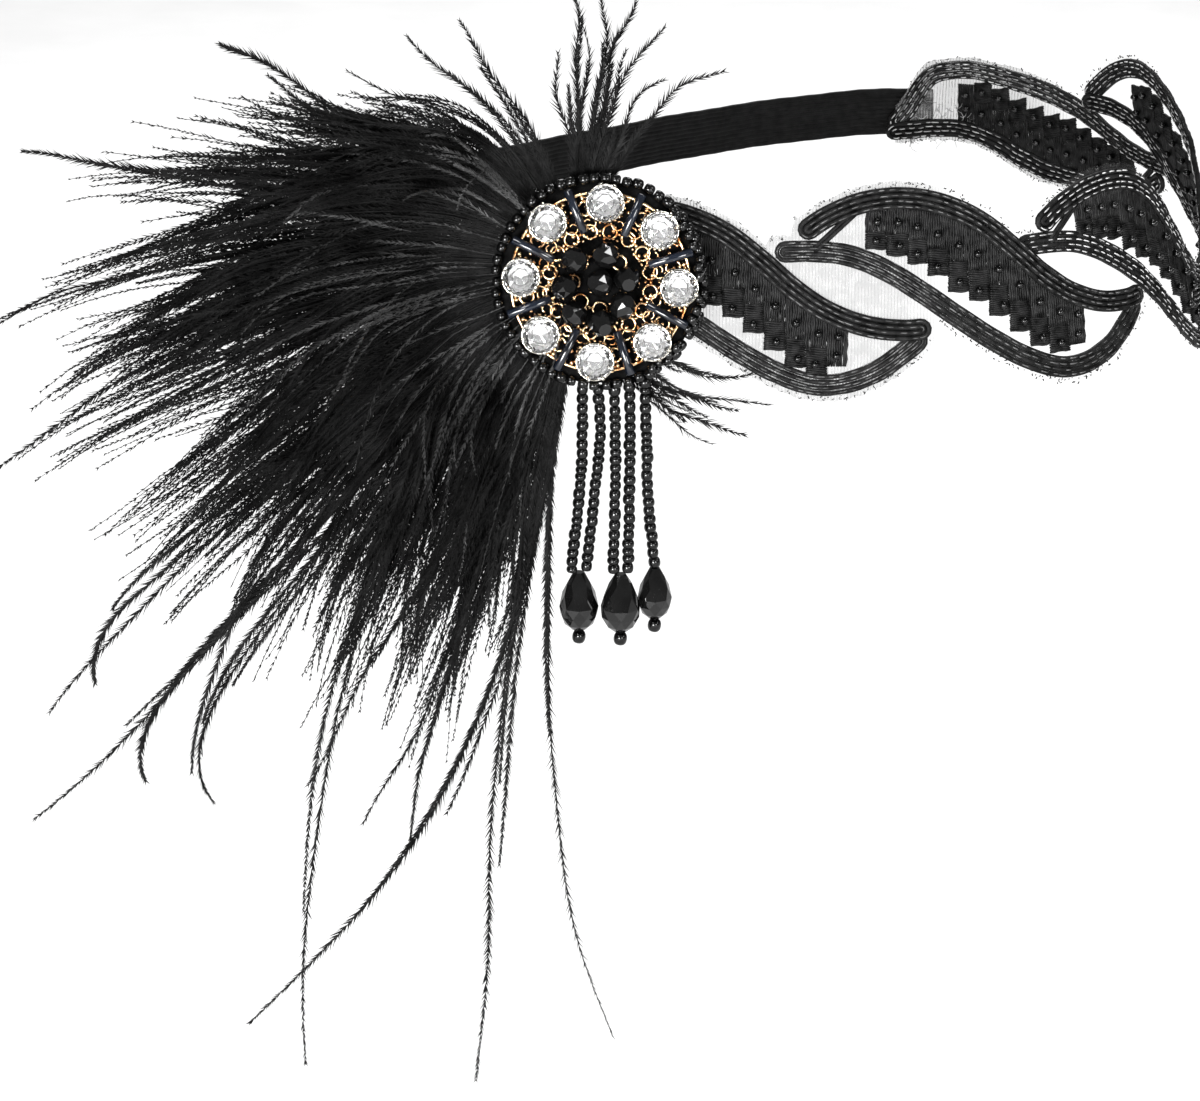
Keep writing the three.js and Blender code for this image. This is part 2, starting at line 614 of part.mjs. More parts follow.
// A flattened, tapered lock along its curve from a start share to its tip
function lock(row, fullWidth, start, sides, steps) {
  const curve = lockCurve(row);
  const root = plumePoint(plumeRoot.x, plumeRoot.y, 0);
  const rings = [];
  for (let step = 0; step <= steps; step += 1) {
    const share = THREE.MathUtils.lerp(start, 1, step / steps);
    const centre = curve(share);
    const ahead = Math.min(1, share + wayStep);
    const way = curve(ahead).sub(curve(ahead - 2 * wayStep)).normalize();
    const across = new THREE.Vector3(0, -1, 0).cross(way).normalize();
    const out = way.clone().cross(across);
    const rising = THREE.MathUtils.lerp(lockRoot, 1, THREE.MathUtils.smoothstep(share, 0, fullShares.from));
    const falling = THREE.MathUtils.lerp(1, lockTip, THREE.MathUtils.smoothstep(share, fullShares.to, 1));
    const half = fullWidth / 2 * rising * falling;
    const swell = THREE.MathUtils.smoothstep(centre.distanceTo(root), plumeClear, plumeClear + swellReach);
    const flat = (plumePadThick - padSlack) / 2;
    const deep = Math.min(half, THREE.MathUtils.lerp(flat, half * lockFlatness, swell));
    const ring = [];
    for (let side = 0; side < sides; side += 1) {
      const place = onCircle(1, -2 * Math.PI * side / sides);
      ring.push(centre.clone().addScaledVector(across, half * place.x).addScaledVector(out, deep * place.y));
    }
    rings.push(ring);
  }
  return loft(rings);
}

function plume() {
  const pad = disc(plumePad / 2, plumePadThick, padSides).rotateX(-wallLean + Math.PI / 2);
  const middle = plumePoint(plumeRoot.x, plumeRoot.y, 0);
  const pieces = [pad.translate(middle.x, middle.y, middle.z)];
  plumeLocks.forEach((row) => pieces.push(lock(row, lockWidth * row.width, lockStart, 6, 5)));
  plumeWisps.forEach((row) => pieces.push(lock(row, wispWidth, Math.max(lockStart, row.start), 4, 6)));
  return fromSolid(joinAll(pieces));
}

addMesh(group, 'lace_band', laceBand(), cordFinish);
addMesh(group, 'elastic_band', elasticBand(), elasticFinish);
addMedallion();
addStrands();
addMesh(group, 'plume', plume(), featherFinish);

export default group;
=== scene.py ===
# A flapper headband, dressed: corded lace, ribbed elastic, a beaded medallion, bead strands and a plume.
# Sizes are in millimetres and become metres when a mesh is made. +Z is up, and the front faces -Y.

import math

import bpy
import numpy as np
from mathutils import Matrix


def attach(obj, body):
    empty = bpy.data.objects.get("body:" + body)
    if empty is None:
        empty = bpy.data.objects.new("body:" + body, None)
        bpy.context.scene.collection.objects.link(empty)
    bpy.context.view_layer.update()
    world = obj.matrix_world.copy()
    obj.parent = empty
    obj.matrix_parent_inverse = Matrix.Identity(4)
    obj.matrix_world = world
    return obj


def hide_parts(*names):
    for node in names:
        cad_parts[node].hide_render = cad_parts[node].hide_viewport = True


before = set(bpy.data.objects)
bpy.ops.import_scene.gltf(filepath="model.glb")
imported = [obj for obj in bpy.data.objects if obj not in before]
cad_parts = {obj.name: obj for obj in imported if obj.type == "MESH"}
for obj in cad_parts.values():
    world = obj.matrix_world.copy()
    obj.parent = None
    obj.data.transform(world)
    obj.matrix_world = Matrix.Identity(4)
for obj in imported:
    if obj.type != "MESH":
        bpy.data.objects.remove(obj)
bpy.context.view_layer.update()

MM = 0.001
GAP = 0.3
TURN = 2 * math.pi
random = np.random.default_rng(23)
uniform = random.uniform

# Camera, lights and floor
CAMERA_PLACE = (-38.75, -940.1, 248.1)
CAMERA_PITCH = 19.76
CAMERA_LENS = 118.8
CAMERA_SENSOR = 36
FLOOR_LEVEL = -205
FLOOR_SIZE = 14000
SKY_STRENGTH = 0.32
# Name, place, aim, size and power of each light
LIGHTS = (
    ("key_light", (-450, -750, 750), (-30, 0, 0), (280, 220), 6),
    ("side_light", (850, -450, 600), (0, 0, 0), (240, 240), 5),
    ("low_light", (-380, -1000, -40), (-40, 0, -20), (400, 280), 22),
    ("low_side_light", (420, -950, 60), (-40, 0, 0), (200, 260), 7),
    ("back_light", (100, 1000, 1200), (0, 300, -200), (1200, 600), 28),
)

# Loop for the head
RIGHT_RADIUS = 75
LEFT_RADIUS = 42
STRAIGHT_RUN = 96.5
WALL_LEAN = math.radians(12)
LOOP_SWAY = 9
CORNER = -26
SEAT = np.array([CORNER + (STRAIGHT_RUN + RIGHT_RADIUS - LEFT_RADIUS) / 2, RIGHT_RADIUS])
LEFT_CENTRE = np.array([CORNER, LEFT_RADIUS])
RIGHT_CENTRE = np.array([CORNER + STRAIGHT_RUN, RIGHT_RADIUS])
RIGHT_ARC = math.pi + 2 * math.atan2(RIGHT_RADIUS - LEFT_RADIUS, STRAIGHT_RUN)
RIGHT_ARC_LENGTH = RIGHT_RADIUS * RIGHT_ARC
LOOP_LENGTH = 2 * STRAIGHT_RUN + RIGHT_ARC_LENGTH + LEFT_RADIUS * (TURN - RIGHT_ARC)

# Lace
LEAF_LENGTH = 89
LEAF_REACH = 20.5
BUNDLE_WIDTH = 5
CORD_PITCH = 1.25
CORD_RADIUS = 0.66
BUNDLE_LIFT = 0.35
LACE_THICK = 2
STITCH_PITCH = 2.5
STITCH_LENGTH = 1.9
STITCH_RADIUS = 0.15
THREAD_PITCH = 0.54
THREAD_RADIUS = 0.37
COLUMN_PITCH = 4.75
LAST_COLUMN = 23.5
END_GATHER = 7
NET_MARGIN = 1.2
LACE_BEAD = 1.9

# Start and length of each leaf in shares of LEAF_LENGTH, reach and lift in shares of LEAF_REACH, and its side
LEAVES = np.array([
    (-0.2, 1.07, 0.98, -0.09, 1), (0.485, 1.015, 1, 0, 1), (1.12, 0.97, 0.97, 0.02, 1),
    (1.785, 1, 0.94, -0.02, -1), (2.42, 0.99, 0.87, 0.07, -1),
])
LACE_START = LEAVES[0, 0] * LEAF_LENGTH
LACE_END = LEAVES[-1, :2].sum() * LEAF_LENGTH
# Share of the leaf's length and share of its reach, along each bundle's middle
UPPER_BUNDLE = np.array([
    (0.02, 0.6), (0.09, 0.81), (0.18, 0.97), (0.28, 1.02), (0.38, 0.95), (0.48, 0.75),
    (0.57, 0.43), (0.65, 0.1), (0.73, -0.15), (0.82, -0.31), (0.91, -0.36), (0.98, -0.33),
])
LOWER_BUNDLE = np.array([
    (-0.045, 0.42), (0.06, 0.43), (0.15, 0.38), (0.24, 0.22), (0.33, -0.02), (0.42, -0.3), (0.51, -0.58),
    (0.6, -0.82), (0.69, -0.97), (0.77, -0.96), (0.85, -0.82), (0.92, -0.58), (0.965, -0.38),
])
# Degrees round the right arc and share of LOOP_SWAY
LACE_SWAY = np.array([(0, 0), (45, 0), (72, -0.75), (96, 1), (131, 0.9), (158, 0), (360, 0)])
# Length of each column of a leaf in shares of its reach
COLUMN_DROPS = (0.42, 0.5, 0.57, 0.68, 0.76, 0.76, 0.76, 0.76, 0.75, 0.66, 0.44)

# Elastic
ELASTIC_WIDTH = 13
ELASTIC_THICK = 1.2
ELASTIC_LAP = 14
ELASTIC_RISE = 5.5
ELASTIC_RIBS = 11
ELASTIC_SWAY = np.array([(0, 1), (0.2, 0.5), (0.6, 0.6), (0.95, 0), (1, 0)])

# Medallion
MEDALLION_DIAMETER = 49
MEDALLION_RISE = 2.4
EDGE_BEAD = 2.3
EDGE_BEAD_COUNT = 58
STONE_COUNT = 8
STONE_DIAMETER = 8.7
STONE_HEIGHT = 4
STONE_TURN = math.radians(-3.7)
BUGLE_DIAMETER = 2
JET_DIAMETER = 5.8
JET_SWELL = 1.1
STONE_FIT = 0.92
FELT_LAYER = 4.6
FELT_THICK = 2
PLATE_LAYER = 6.9
PLATE_THICK = 0.8
STONE_LAYER = 8.0
EDGE_CIRCLE = 23.35
FELT_RADIUS = 22.9
PLATE_RADIUS = 20.5
STONE_CIRCLE = 17.85
BUGLE_OUTER = 21.9
BUGLE_INNER = 11.6
# Turn in degrees and circle in shares of JET_DIAMETER
JET_PLACES = ((0, 0), (138, 1.32), (78, 1.1), (8, 1.06), (-46, 1.25), (-89, 1.55), (-131, 1.55), (187, 1.38))
# Circle in shares of PLATE_RADIUS, count and shift of each ring of pierced places
PIERCE_RINGS = ((0.3, 8, 0), (0.56, 16, 0.5), (0.82, 16, 0.5))
PIERCE_WIDTH = 2.8

# Strands and drops
STRAND_DIAMETER = 2.8
STRAND_LENGTH = 43.5
DROP_DIAMETER = 9.2
DROP_LENGTH = 14
END_BEAD = 3.2
STRAND_ROUTES = (
    {"drop": 0, "ahead": 0, "points": [(-0.42, 0), (-0.44, 0.3), (-0.5, 0.55), (-0.62, 0.8), (-0.71, 1)]},
    {"drop": 0, "ahead": 0, "points": [(-0.06, 0), (0.01, 0.22), (-0.1, 0.5), (-0.24, 0.8), (-0.35, 1)]},
    {"drop": 1, "ahead": 1.2, "points": [(0.36, 0), (0.38, 0.3), (0.37, 0.65), (0.33, 1)]},
    {"drop": 1, "ahead": 1.2, "points": [(0.73, 0), (0.74, 0.3), (0.72, 0.65), (0.69, 1)]},
    {"drop": 2, "ahead": -3, "points": [(1.1, 0), (1.16, 0.3), (1.19, 0.6), (1.37, 1)]},
)
DROP_SIZES = (1, 1, 0.88)

# Plume
PLUME_REACH = 200
PLUME_DEPTH = 46
LOCK_WIDTH = 17
PLUME_ROOT = np.array([-43.75, 6.35])
PLUME_MIDDLE = 2.8
PLUME_CLEAR = 30.9
BLADE_WIDTH = 0.19
LOCK_BARBS = 30
TUFT_COUNT = 84
TUFT_BARBS = 12
TUFT_WIDTH = 6.5
# Count of paler barbs that paint highlights on the plume
PAINTED_HIGHLIGHT_BARBS = 60
# Tip angle, tip, bow angle, bow, lift and width of each lock, in degrees and in shares
PLUME_LOCKS = np.array([
    (140, 0.34, 125, 0.2, 0.2, 0.6), (154, 0.48, 132, 0.18, 0.35, 0.8), (165, 0.55, 143, 0.22, 0.5, 0.9),
    (171, 0.6, 153, 0.28, 0.25, 1), (178, 0.61, 166, 0.28, 0.6, 0.9), (183, 0.58, 171, 0.27, 0.85, 1),
    (191, 0.58, 178, 0.3, 0.45, 1), (198, 0.63, 184, 0.26, 0.65, 1.2), (204, 0.59, 188, 0.22, 0.95, 1.1),
    (212, 0.56, 203, 0.23, 0.55, 1.1), (220, 0.53, 207, 0.22, 1, 1.1), (230, 0.53, 214, 0.21, 0.7, 1),
    (240, 0.55, 225, 0.21, 0.45, 0.9), (243, 0.46, 237, 0.22, 0.8, 0.9), (251, 0.6, 244, 0.18, 0.3, 0.7),
    (257, 0.46, 256, 0.23, 0.1, 0.6),
])
# Tip angle, tip, bow angle, bow and lift of each long wisp
PLUME_WISPS = np.array([
    (324, 0.27, 290, 0.18, 0), (314, 0.27, 290, 0.17, 0), (308, 0.25, 285, 0.17, 0),
    (319, 0.24, 288, 0.17, 0), (329, 0.23, 300, 0.15, 0), (312, 0.22, 288, 0.14, 0),
    (96, 0.24, 92, 0.14, 0.02), (88, 0.27, 90, 0.15, 0.02), (76, 0.25, 84, 0.14, 0.02),
    (66, 0.23, 80, 0.14, 0.02), (92, 0.318, 88, 0.2, 0.02), (84, 0.307, 84, 0.2, 0.05),
    (79, 0.309, 82, 0.2, 0.02), (72, 0.289, 82, 0.18, 0.02), (54, 0.273, 78, 0.16, 0),
    (125, 0.326, 112, 0.18, 0.06), (116, 0.311, 104, 0.18, 0.1), (138, 0.341, 118, 0.18, 0.1),
    (145, 0.47, 147, 0.43, 0.25), (165, 0.63, 163, 0.45, 0.45), (183, 0.64, 171, 0.47, 0.6),
    (195, 0.67, 183, 0.41, 0.6), (219, 0.76, 209, 0.46, 0.6), (224, 0.87, 228, 0.49, 0.5),
    (251, 0.99, 229, 0.54, 0.4), (247, 0.99, 266, 0.6, 0.2), (263, 1, 258, 0.53, 0.12),
    (272, 0.95, 260, 0.51, 0.06),
    (220, 0.72, 212, 0.68, 0.3), (235, 0.75, 225, 0.7, 0.3), (229, 0.77, 222, 0.7, 0.3),
    (254, 0.71, 250, 0.47, 0.2), (241, 0.65, 246, 0.36, 0.4), (249, 0.68, 253, 0.42, 0.3),
    (231, 0.7, 216, 0.55, 0.5), (257, 0.66, 263, 0.4, 0.15),
])


# Materials

def new_material(name):
    material = bpy.data.materials.new(name)
    material.use_nodes = True
    nodes = material.node_tree.nodes
    return material, nodes, material.node_tree.links, nodes["Principled BSDF"]


def noise(nodes, links, grain):
    """A noise in the object's own space, with features of about grain millimetres."""
    place = nodes.new("ShaderNodeTexCoord")
    texture = nodes.new("ShaderNodeTexNoise")
    texture.inputs["Scale"].default_value = 1 / (grain * MM)
    texture.inputs["Detail"].default_value = 3
    links.new(place.outputs["Object"], texture.inputs["Vector"])
    return texture.outputs["Fac"]


def ramp(nodes, links, value, dark, light):
    blend = nodes.new("ShaderNodeValToRGB")
    for element, position, colour in zip(blend.color_ramp.elements, (0.35, 0.65), (dark, light)):
        element.position = position
        element.color = (*np.broadcast_to(colour, 3), 1)
    links.new(value, blend.inputs["Fac"])
    return blend.outputs["Color"]


def spread(nodes, links, value, result, span=(0.3, 0.7)):
    scaled = nodes.new("ShaderNodeMapRange")
    for socket, number in zip(("From Min", "From Max", "To Min", "To Max"), (*span, *result)):
        scaled.inputs[socket].default_value = number
    links.new(value, scaled.inputs["Value"])
    return scaled.outputs["Result"]


def bump(nodes, links, shader, value, depth):
    relief = nodes.new("ShaderNodeBump")
    relief.inputs["Strength"].default_value = 1
    relief.inputs["Distance"].default_value = depth * MM
    links.new(value, relief.inputs["Height"])
    links.new(relief.outputs["Normal"], shader.inputs["Normal"])


def finish(name, dark, light, rough, grain, depth, **sockets):
    """A material whose colour, roughness and relief vary over grains of that size."""
    material, nodes, links, shader = new_material(name)
    tone = noise(nodes, links, grain * 6)
    fine = noise(nodes, links, grain)
    links.new(ramp(nodes, links, tone, dark, light), shader.inputs["Base Color"])
    links.new(spread(nodes, links, fine, rough), shader.inputs["Roughness"])
    bump(nodes, links, shader, fine, depth)
    for socket, value in sockets.items():
        shader.inputs[socket.replace("_", " ")].default_value = value
    return material


def two(nodes, links, operation, first, second):
    node = nodes.new("ShaderNodeMath")
    node.operation = operation
    links.new(first, node.inputs[0])
    links.new(second, node.inputs[1])
    return node.outputs[0]


def net_material():
    """Sheer net of fine upright threads, denser over the first leaves and at the far end."""
    material, nodes, links, shader = new_material("sheer_net")
    place = nodes.new("ShaderNodeTexCoord").outputs["Object"]
    threads = nodes.new("ShaderNodeTexWave")
    threads.inputs["Scale"].default_value = 420
    threads.inputs["Distortion"].default_value = 1.5
    links.new(place, threads.inputs["Vector"])
    split = nodes.new("ShaderNodeSeparateXYZ")
    links.new(place, split.inputs["Vector"])
    near = spread(nodes, links, split.outputs["X"], (1, 0.15), (30 * MM, 42 * MM))
    far = spread(nodes, links, split.outputs["Y"], (0, 1), (52 * MM, 62 * MM))
    patches = noise(nodes, links, 2.5)
    both = two(nodes, links, "MULTIPLY", threads.outputs["Fac"], patches)
    veil = spread(nodes, links, both, (0.45, 1))
    ends = two(nodes, links, "MAXIMUM", near, far)
    links.new(two(nodes, links, "MULTIPLY", veil, ends), shader.inputs["Alpha"])
    links.new(ramp(nodes, links, patches, 0.06, 0.18), shader.inputs["Base Color"])
    shader.inputs["Roughness"].default_value = 0.7
    return material


CORD = finish("cord_lace", 0.0015, 0.0095, (0.4, 0.65), 0.35, 0.08, Specular_IOR_Level=0.07)
# Pale stitch threads paint the satin highlights along the cords; the darker copy is that highlight in painted
# shade, for the first two leaves
PAINTED_HIGHLIGHT_THREAD = finish("thread_painted_highlight", 0.07, 0.45, (0.3, 0.5), 0.5, 0.03)
SHADED_HIGHLIGHT_THREAD = finish("thread_painted_highlight_shaded", 0.005, 0.1, (0.35, 0.55), 0.5, 0.03, Specular_IOR_Level=0.2)
SATIN = finish("satin_stitch", 0.0015, 0.011, (0.3, 0.5), 0.3, 0.06, Specular_IOR_Level=0.07)
ELASTIC = finish("ribbed_elastic", 0.001, 0.005, (0.45, 0.7), 0.3, 0.07, Specular_IOR_Level=0.08)
FELT = finish("black_felt", 0.001, 0.004, (0.85, 1.0), 0.4, 0.12, Specular_IOR_Level=0.03)
GOLD = finish("gold_filigree", (0.3, 0.12, 0.035), (1.0, 0.76, 0.46), (0.12, 0.3), 0.4, 0.05, Metallic=1.0)
SILVER = finish("silver_setting", (0.3, 0.27, 0.22), (0.95, 0.92, 0.84), (0.08, 0.2), 0.4, 0.03, Metallic=1.0)
FOIL = finish("stone_foil", 0.9, 1.0, (0.05, 0.15), 1.5, 0.005, Metallic=0.85)
STONE = finish("cut_crystal", 0.97, 1.0, (0.0, 0.015), 2.0, 0.002, Transmission_Weight=1.0, IOR=1.55)
BUGLE = finish("bugle_glass", (0.002, 0.0025, 0.004), (0.005, 0.007, 0.012), (0.06, 0.12), 0.8, 0.02,
               IOR=1.45)
JET = finish("black_glass", 0.001, 0.003, (0.02, 0.05), 1.2, 0.005, IOR=1.42)
SEED = finish("seed_glass", 0.001, 0.003, (0.02, 0.04), 0.8, 0.008, IOR=1.34)
FEATHER = finish("ostrich_feather", 0.001, 0.006, (0.45, 0.7), 1.5, 0.02, Specular_IOR_Level=0.07)
# A paler feather finish: painted highlight streaks on the black plume
PAINTED_HIGHLIGHT_FEATHER = finish("feather_painted_highlight", 0.003, 0.028, (0.3, 0.5), 1.5, 0.02, Specular_IOR_Level=0.15)
FLOOR = finish("pale_floor", 0.68, 0.71, (0.7, 0.8), 8.0, 0.02)


# Meshes

class Skin:
    """Points and faces gathered for one piece, in millimetres."""

    def __init__(self):
        self.points = []
        self.faces = []
        self.count = 0

    def add(self, points, faces):
        self.points.append(np.asarray(points, float).reshape(-1, 3))
        self.faces.extend(np.asarray(block, int) + self.count for block in faces)
        self.count += len(self.points[-1])


def put(name, data):
    thing = bpy.data.objects.new(name, data)
    bpy.context.scene.collection.objects.link(thing)
    return thing


def make(name, skin, material, slot, replaces=(), smooth=True, carry=None):
    """Make a piece of the headband from a skin."""
    points = np.concatenate(skin.points)
    if carry:
        points = carry(points)
    totals = np.concatenate([np.full(len(block), block.shape[1]) for block in skin.faces])
    corners = np.concatenate([block.ravel() for block in skin.faces])
    mesh = bpy.data.meshes.new(name)
    mesh.vertices.add(len(points))
    mesh.vertices.foreach_set("co", (points * MM).ravel())
    mesh.loops.add(len(corners))
    mesh.loops.foreach_set("vertex_index", corners)
    mesh.polygons.add(len(totals))
    mesh.polygons.foreach_set("loop_start", np.cumsum(totals) - totals)
    mesh.polygons.foreach_set("use_smooth", np.full(len(totals), smooth))
    mesh.update(calc_edges=True)
    mesh.validate()
    mesh.materials.append(material)
    piece = put(name, mesh)
    if slot is None:
        return piece
    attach(piece, "root")
    if replaces:
        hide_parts(*replaces)
    return piece


def unit(vectors):
    return vectors / np.maximum(np.linalg.norm(vectors, axis=-1, keepdims=True), 1e-9)


def ease(value, low, high):
    share = np.clip((value - low) / (high - low), 0, 1)
    return share * share * (3 - 2 * share)


def even_turns(count):
    return TURN * np.arange(count) / count


def distances(line):
    """The way along a line at each of its points."""
    return np.concatenate([[0], np.cumsum(np.linalg.norm(np.diff(line, axis=0), axis=1))])


def ring_points(radius, turn, level=0.0):
    return np.stack([radius * np.cos(turn), radius * np.sin(turn), level + 0 * turn], 1)


def sized(profile, radius, height):
    """A profile in shares as one in millimetres."""
    return [(reach * radius, level * height) for reach, level in profile]


def grid(rows, columns, wrap_rows=False, wrap_columns=False):
    """Quads over a grid of points, numbered row by row."""
    row = np.arange(rows if wrap_rows else rows - 1)[:, None]
    column = np.arange(columns if wrap_columns else columns - 1)[None, :]
    next_row = (row + 1) % rows
    next_column = (column + 1) % columns
    corners = [row * columns + column, next_row * columns + column,
               next_row * columns + next_column, row * columns + next_column]
    return np.stack([corner.ravel() for corner in np.broadcast_arrays(*corners)], 1)


def sweep(skin, path, radius, sides=6, face=(0, -1, 0), closed=False, flat=1.0):
    """A round or flattened tube along a path; face is the way that its flat side looks."""
    path = np.asarray(path, float)
    count = len(path)
    ahead = unit(np.roll(path, -1, 0) - np.roll(path, 1, 0) if closed else np.gradient(path, axis=0))
    side = unit(np.cross(ahead, np.broadcast_to(face, path.shape)))
    up = np.cross(side, ahead)
    turn = even_turns(sides)
    radius = np.broadcast_to(np.asarray(radius, float), count)[:, None, None]
    ring = np.cos(turn)[None, :, None] * side[:, None] + flat * np.sin(turn)[None, :, None] * up[:, None]
    points = path[:, None] + radius * ring
    faces = [grid(count, sides, closed, True)]
    if not closed:
        first = np.arange(sides)[None, :]
        faces += [first, (count - 1) * sides + first[:, ::-1]]
    skin.add(points, faces)


def lathe(profile, sides, stagger=False):
    """A turned form from rows of (radius, height). Zero radius is a pole, and staggered rows give facets."""
    rows = [row for row in profile if row[0] > 0]
    turn = even_turns(sides)
    points = []
    for index, (radius, height) in enumerate(rows):
        shift = math.pi / sides * (index % 2) if stagger else 0
        points.append(ring_points(radius, turn + shift, height))
    points = np.concatenate(points)
    faces = []
    if stagger:
        for index in range(len(rows) - 1):
            here = index * sides + np.arange(sides)
            following = index * sides + (np.arange(sides) + 1) % sides
            above = here + sides
            above_next = following + sides
            peak, foot = (above, following) if index % 2 == 0 else (above_next, here)
            faces += [np.stack([here, following, peak], 1), np.stack([foot, above_next, above], 1)]
    else:
        faces.append(grid(len(rows), sides, False, True)[:, ::-1])
    ring = np.arange(sides)
    last = (len(rows) - 1) * sides
    for pole, base, flip in ((profile[0], 0, True), (profile[-1], last, False)):
        if pole[0] > 0:
            continue
        tip = len(points)
        points = np.vstack([points, (0, 0, pole[1])])
        fan = np.stack([base + ring, base + (ring + 1) % sides, np.full(sides, tip)], 1)
        faces.append(fan[:, ::-1] if flip else fan)
    return points, faces


def placed(points, centre, axis=(0, 0, 1), spin=0.0):
    """Points turned so that their z runs along the axis, and moved to the centre."""
    axis = unit(np.asarray(axis, float))
    helper = np.array([0, 1, 0]) if abs(axis[1]) < 0.9 else np.array([1, 0, 0])
    across = unit(np.cross(helper, axis))
    other = np.cross(axis, across)
    cos, sin = math.cos(spin), math.sin(spin)
    u = cos * across + sin * other
    v = cos * other - sin * across
    return points[:, :1] * u + points[:, 1:2] * v + points[:, 2:] * axis + np.asarray(centre, float)


def seed_bead(radius, height, hole=0.3, sides=14, rows=8):
    """A small bead with a hole: its wall's section is a soft oval."""
    turn = even_turns(rows)
    wall = (1 - hole) / 2 * radius
    reach = radius - wall + wall * np.cos(turn)
    level = height / 2 * np.sin(turn)
    spin = even_turns(sides)
    points = np.stack([reach[None, :] * np.cos(spin)[:, None], reach[None, :] * np.sin(spin)[:, None],
                       np.broadcast_to(level, (sides, rows))], -1)
    return points.reshape(-1, 3), [grid(sides, rows, True, True)]


def spline(points, count):
    """Evenly spaced points on a smooth curve through a row of points."""
    points = np.asarray(points, float)
    padded = np.vstack([2 * points[0] - points[1], points, 2 * points[-1] - points[-2]])
    share = np.linspace(0, 1, 12, endpoint=False)[:, None]
    curve = []
    for before, a, b, after in zip(padded, padded[1:], padded[2:], padded[3:]):
        curve.append(0.5 * (2 * a + (b - before) * share + (2 * before - 5 * a + 4 * b - after) * share ** 2
                            + (3 * a - before - 3 * b + after) * share ** 3))
    curve = np.vstack([*curve, points[-1:]])
    way = distances(curve)
    even = np.linspace(0, way[-1], count)
    return np.stack([np.interp(even, way, column) for column in curve.T], 1)


# Loop

def from_table(table, at):
    """The second column of a table at a way along its first, eased from row to row."""
    at = np.asarray(at, float)
    low = np.clip(np.searchsorted(table[:, 0], at, "left"), 1, len(table) - 1)
    before, after = table[low - 1], table[low]
    share = ease(at, before[..., 0], after[..., 0])
    return before[..., 1] + (after[..., 1] - before[..., 1]) * share


def loop_place(along):
    run = np.mod(np.asarray(along, float) - CORNER, LOOP_LENGTH)
    right_end = STRAIGHT_RUN + RIGHT_ARC_LENGTH
    left_start = right_end + STRAIGHT_RUN
    parts = [run < STRAIGHT_RUN, run < right_end, run < left_start]
    turn = np.select(parts, [0 * run, (run - STRAIGHT_RUN) / RIGHT_RADIUS, RIGHT_ARC + 0 * run],
                     RIGHT_ARC + (run - left_start) / LEFT_RADIUS)
    slide = np.select(parts, [run - STRAIGHT_RUN, 0 * run, run - right_end], 0 * run)
    on_left = (run >= left_start)[..., None]
    outward = np.stack([np.sin(turn), -np.cos(turn)], -1)
    forward = np.stack([np.cos(turn), np.sin(turn)], -1)
    centre = np.where(on_left, LEFT_CENTRE, RIGHT_CENTRE)
    radius = np.where(on_left, LEFT_RADIUS, RIGHT_RADIUS)
    return centre + outward * radius + forward * slide[..., None] - SEAT, outward


def wall_points(along, rise, out=0.0):
    """Points of the leaning wall: along the loop, up the wall's slope and out from its middle."""
    along, rise, out = np.broadcast_arrays(*(np.asarray(value, float) for value in (along, rise, out)))
    point, outward = loop_place(along)
    reach = out * math.cos(WALL_LEAN) - rise * math.sin(WALL_LEAN)
    turn = np.clip(np.degrees((along - RIGHT_CENTRE[0]) / RIGHT_RADIUS), 0, 360)
    level = LOOP_SWAY * from_table(LACE_SWAY, turn) + rise * math.cos(WALL_LEAN) + out * math.sin(WALL_LEAN)
    return np.concatenate([point + outward * reach[..., None], level[..., None]], -1)


def wall_faces(along, rise):
    """The wall's outward direction."""
    return unit(wall_points(along, rise, 1.0) - wall_points(along, rise, 0.0))


# Lace

def on_leaf(leaf, along, rise):
    """Shares of a leaf as a way along the lace and a rise from its middle."""
    start, length, reach, lift, side = LEAVES[leaf]
    return (start + along * length) * LEAF_LENGTH, (side * rise * reach + lift) * LEAF_REACH


def bundle_line(table, leaf, count):
    """A bundle's middle line on the flat: along and rise."""
    upper = table is UPPER_BUNDLE
    gather = END_GATHER if leaf == len(LEAVES) - 1 else 0
    along, rise = on_leaf(leaf, *table.T)
    rise = rise - gather * ease(table[:, 0], 0.6 if upper else 0.85, 0.95)
    return spline(np.stack([along, rise, 0 * along], 1), count)[:, :2]


def offset_line(line, aside):
    ahead = unit(np.gradient(line, axis=0))
    return line + aside * np.stack([-ahead[:, 1], ahead[:, 0]], 1)


def cord_loop(line, aside, inset):
    """A closed path up one side of a bundle, round its end and back down the other."""
    step = np.linalg.norm(line[1] - line[0])
    skip = int(round(inset / step))
    line = line[skip:len(line) - skip]
    there = offset_line(line, aside)
    back = offset_line(line, -aside)[::-1]
    bends = []
    for place, way in ((line[-1], line[-1] - line[-2]), (line[0], line[0] - line[1])):
        way = unit(way)
        side = np.array([-way[1], way[0]])
        turns = np.linspace(0, math.pi, 7)[1:-1, None]
        bends.append(place + aside * (np.cos(turns) * side + np.sin(turns) * way))
    return np.vstack([there, bends[0], back, bends[1]])


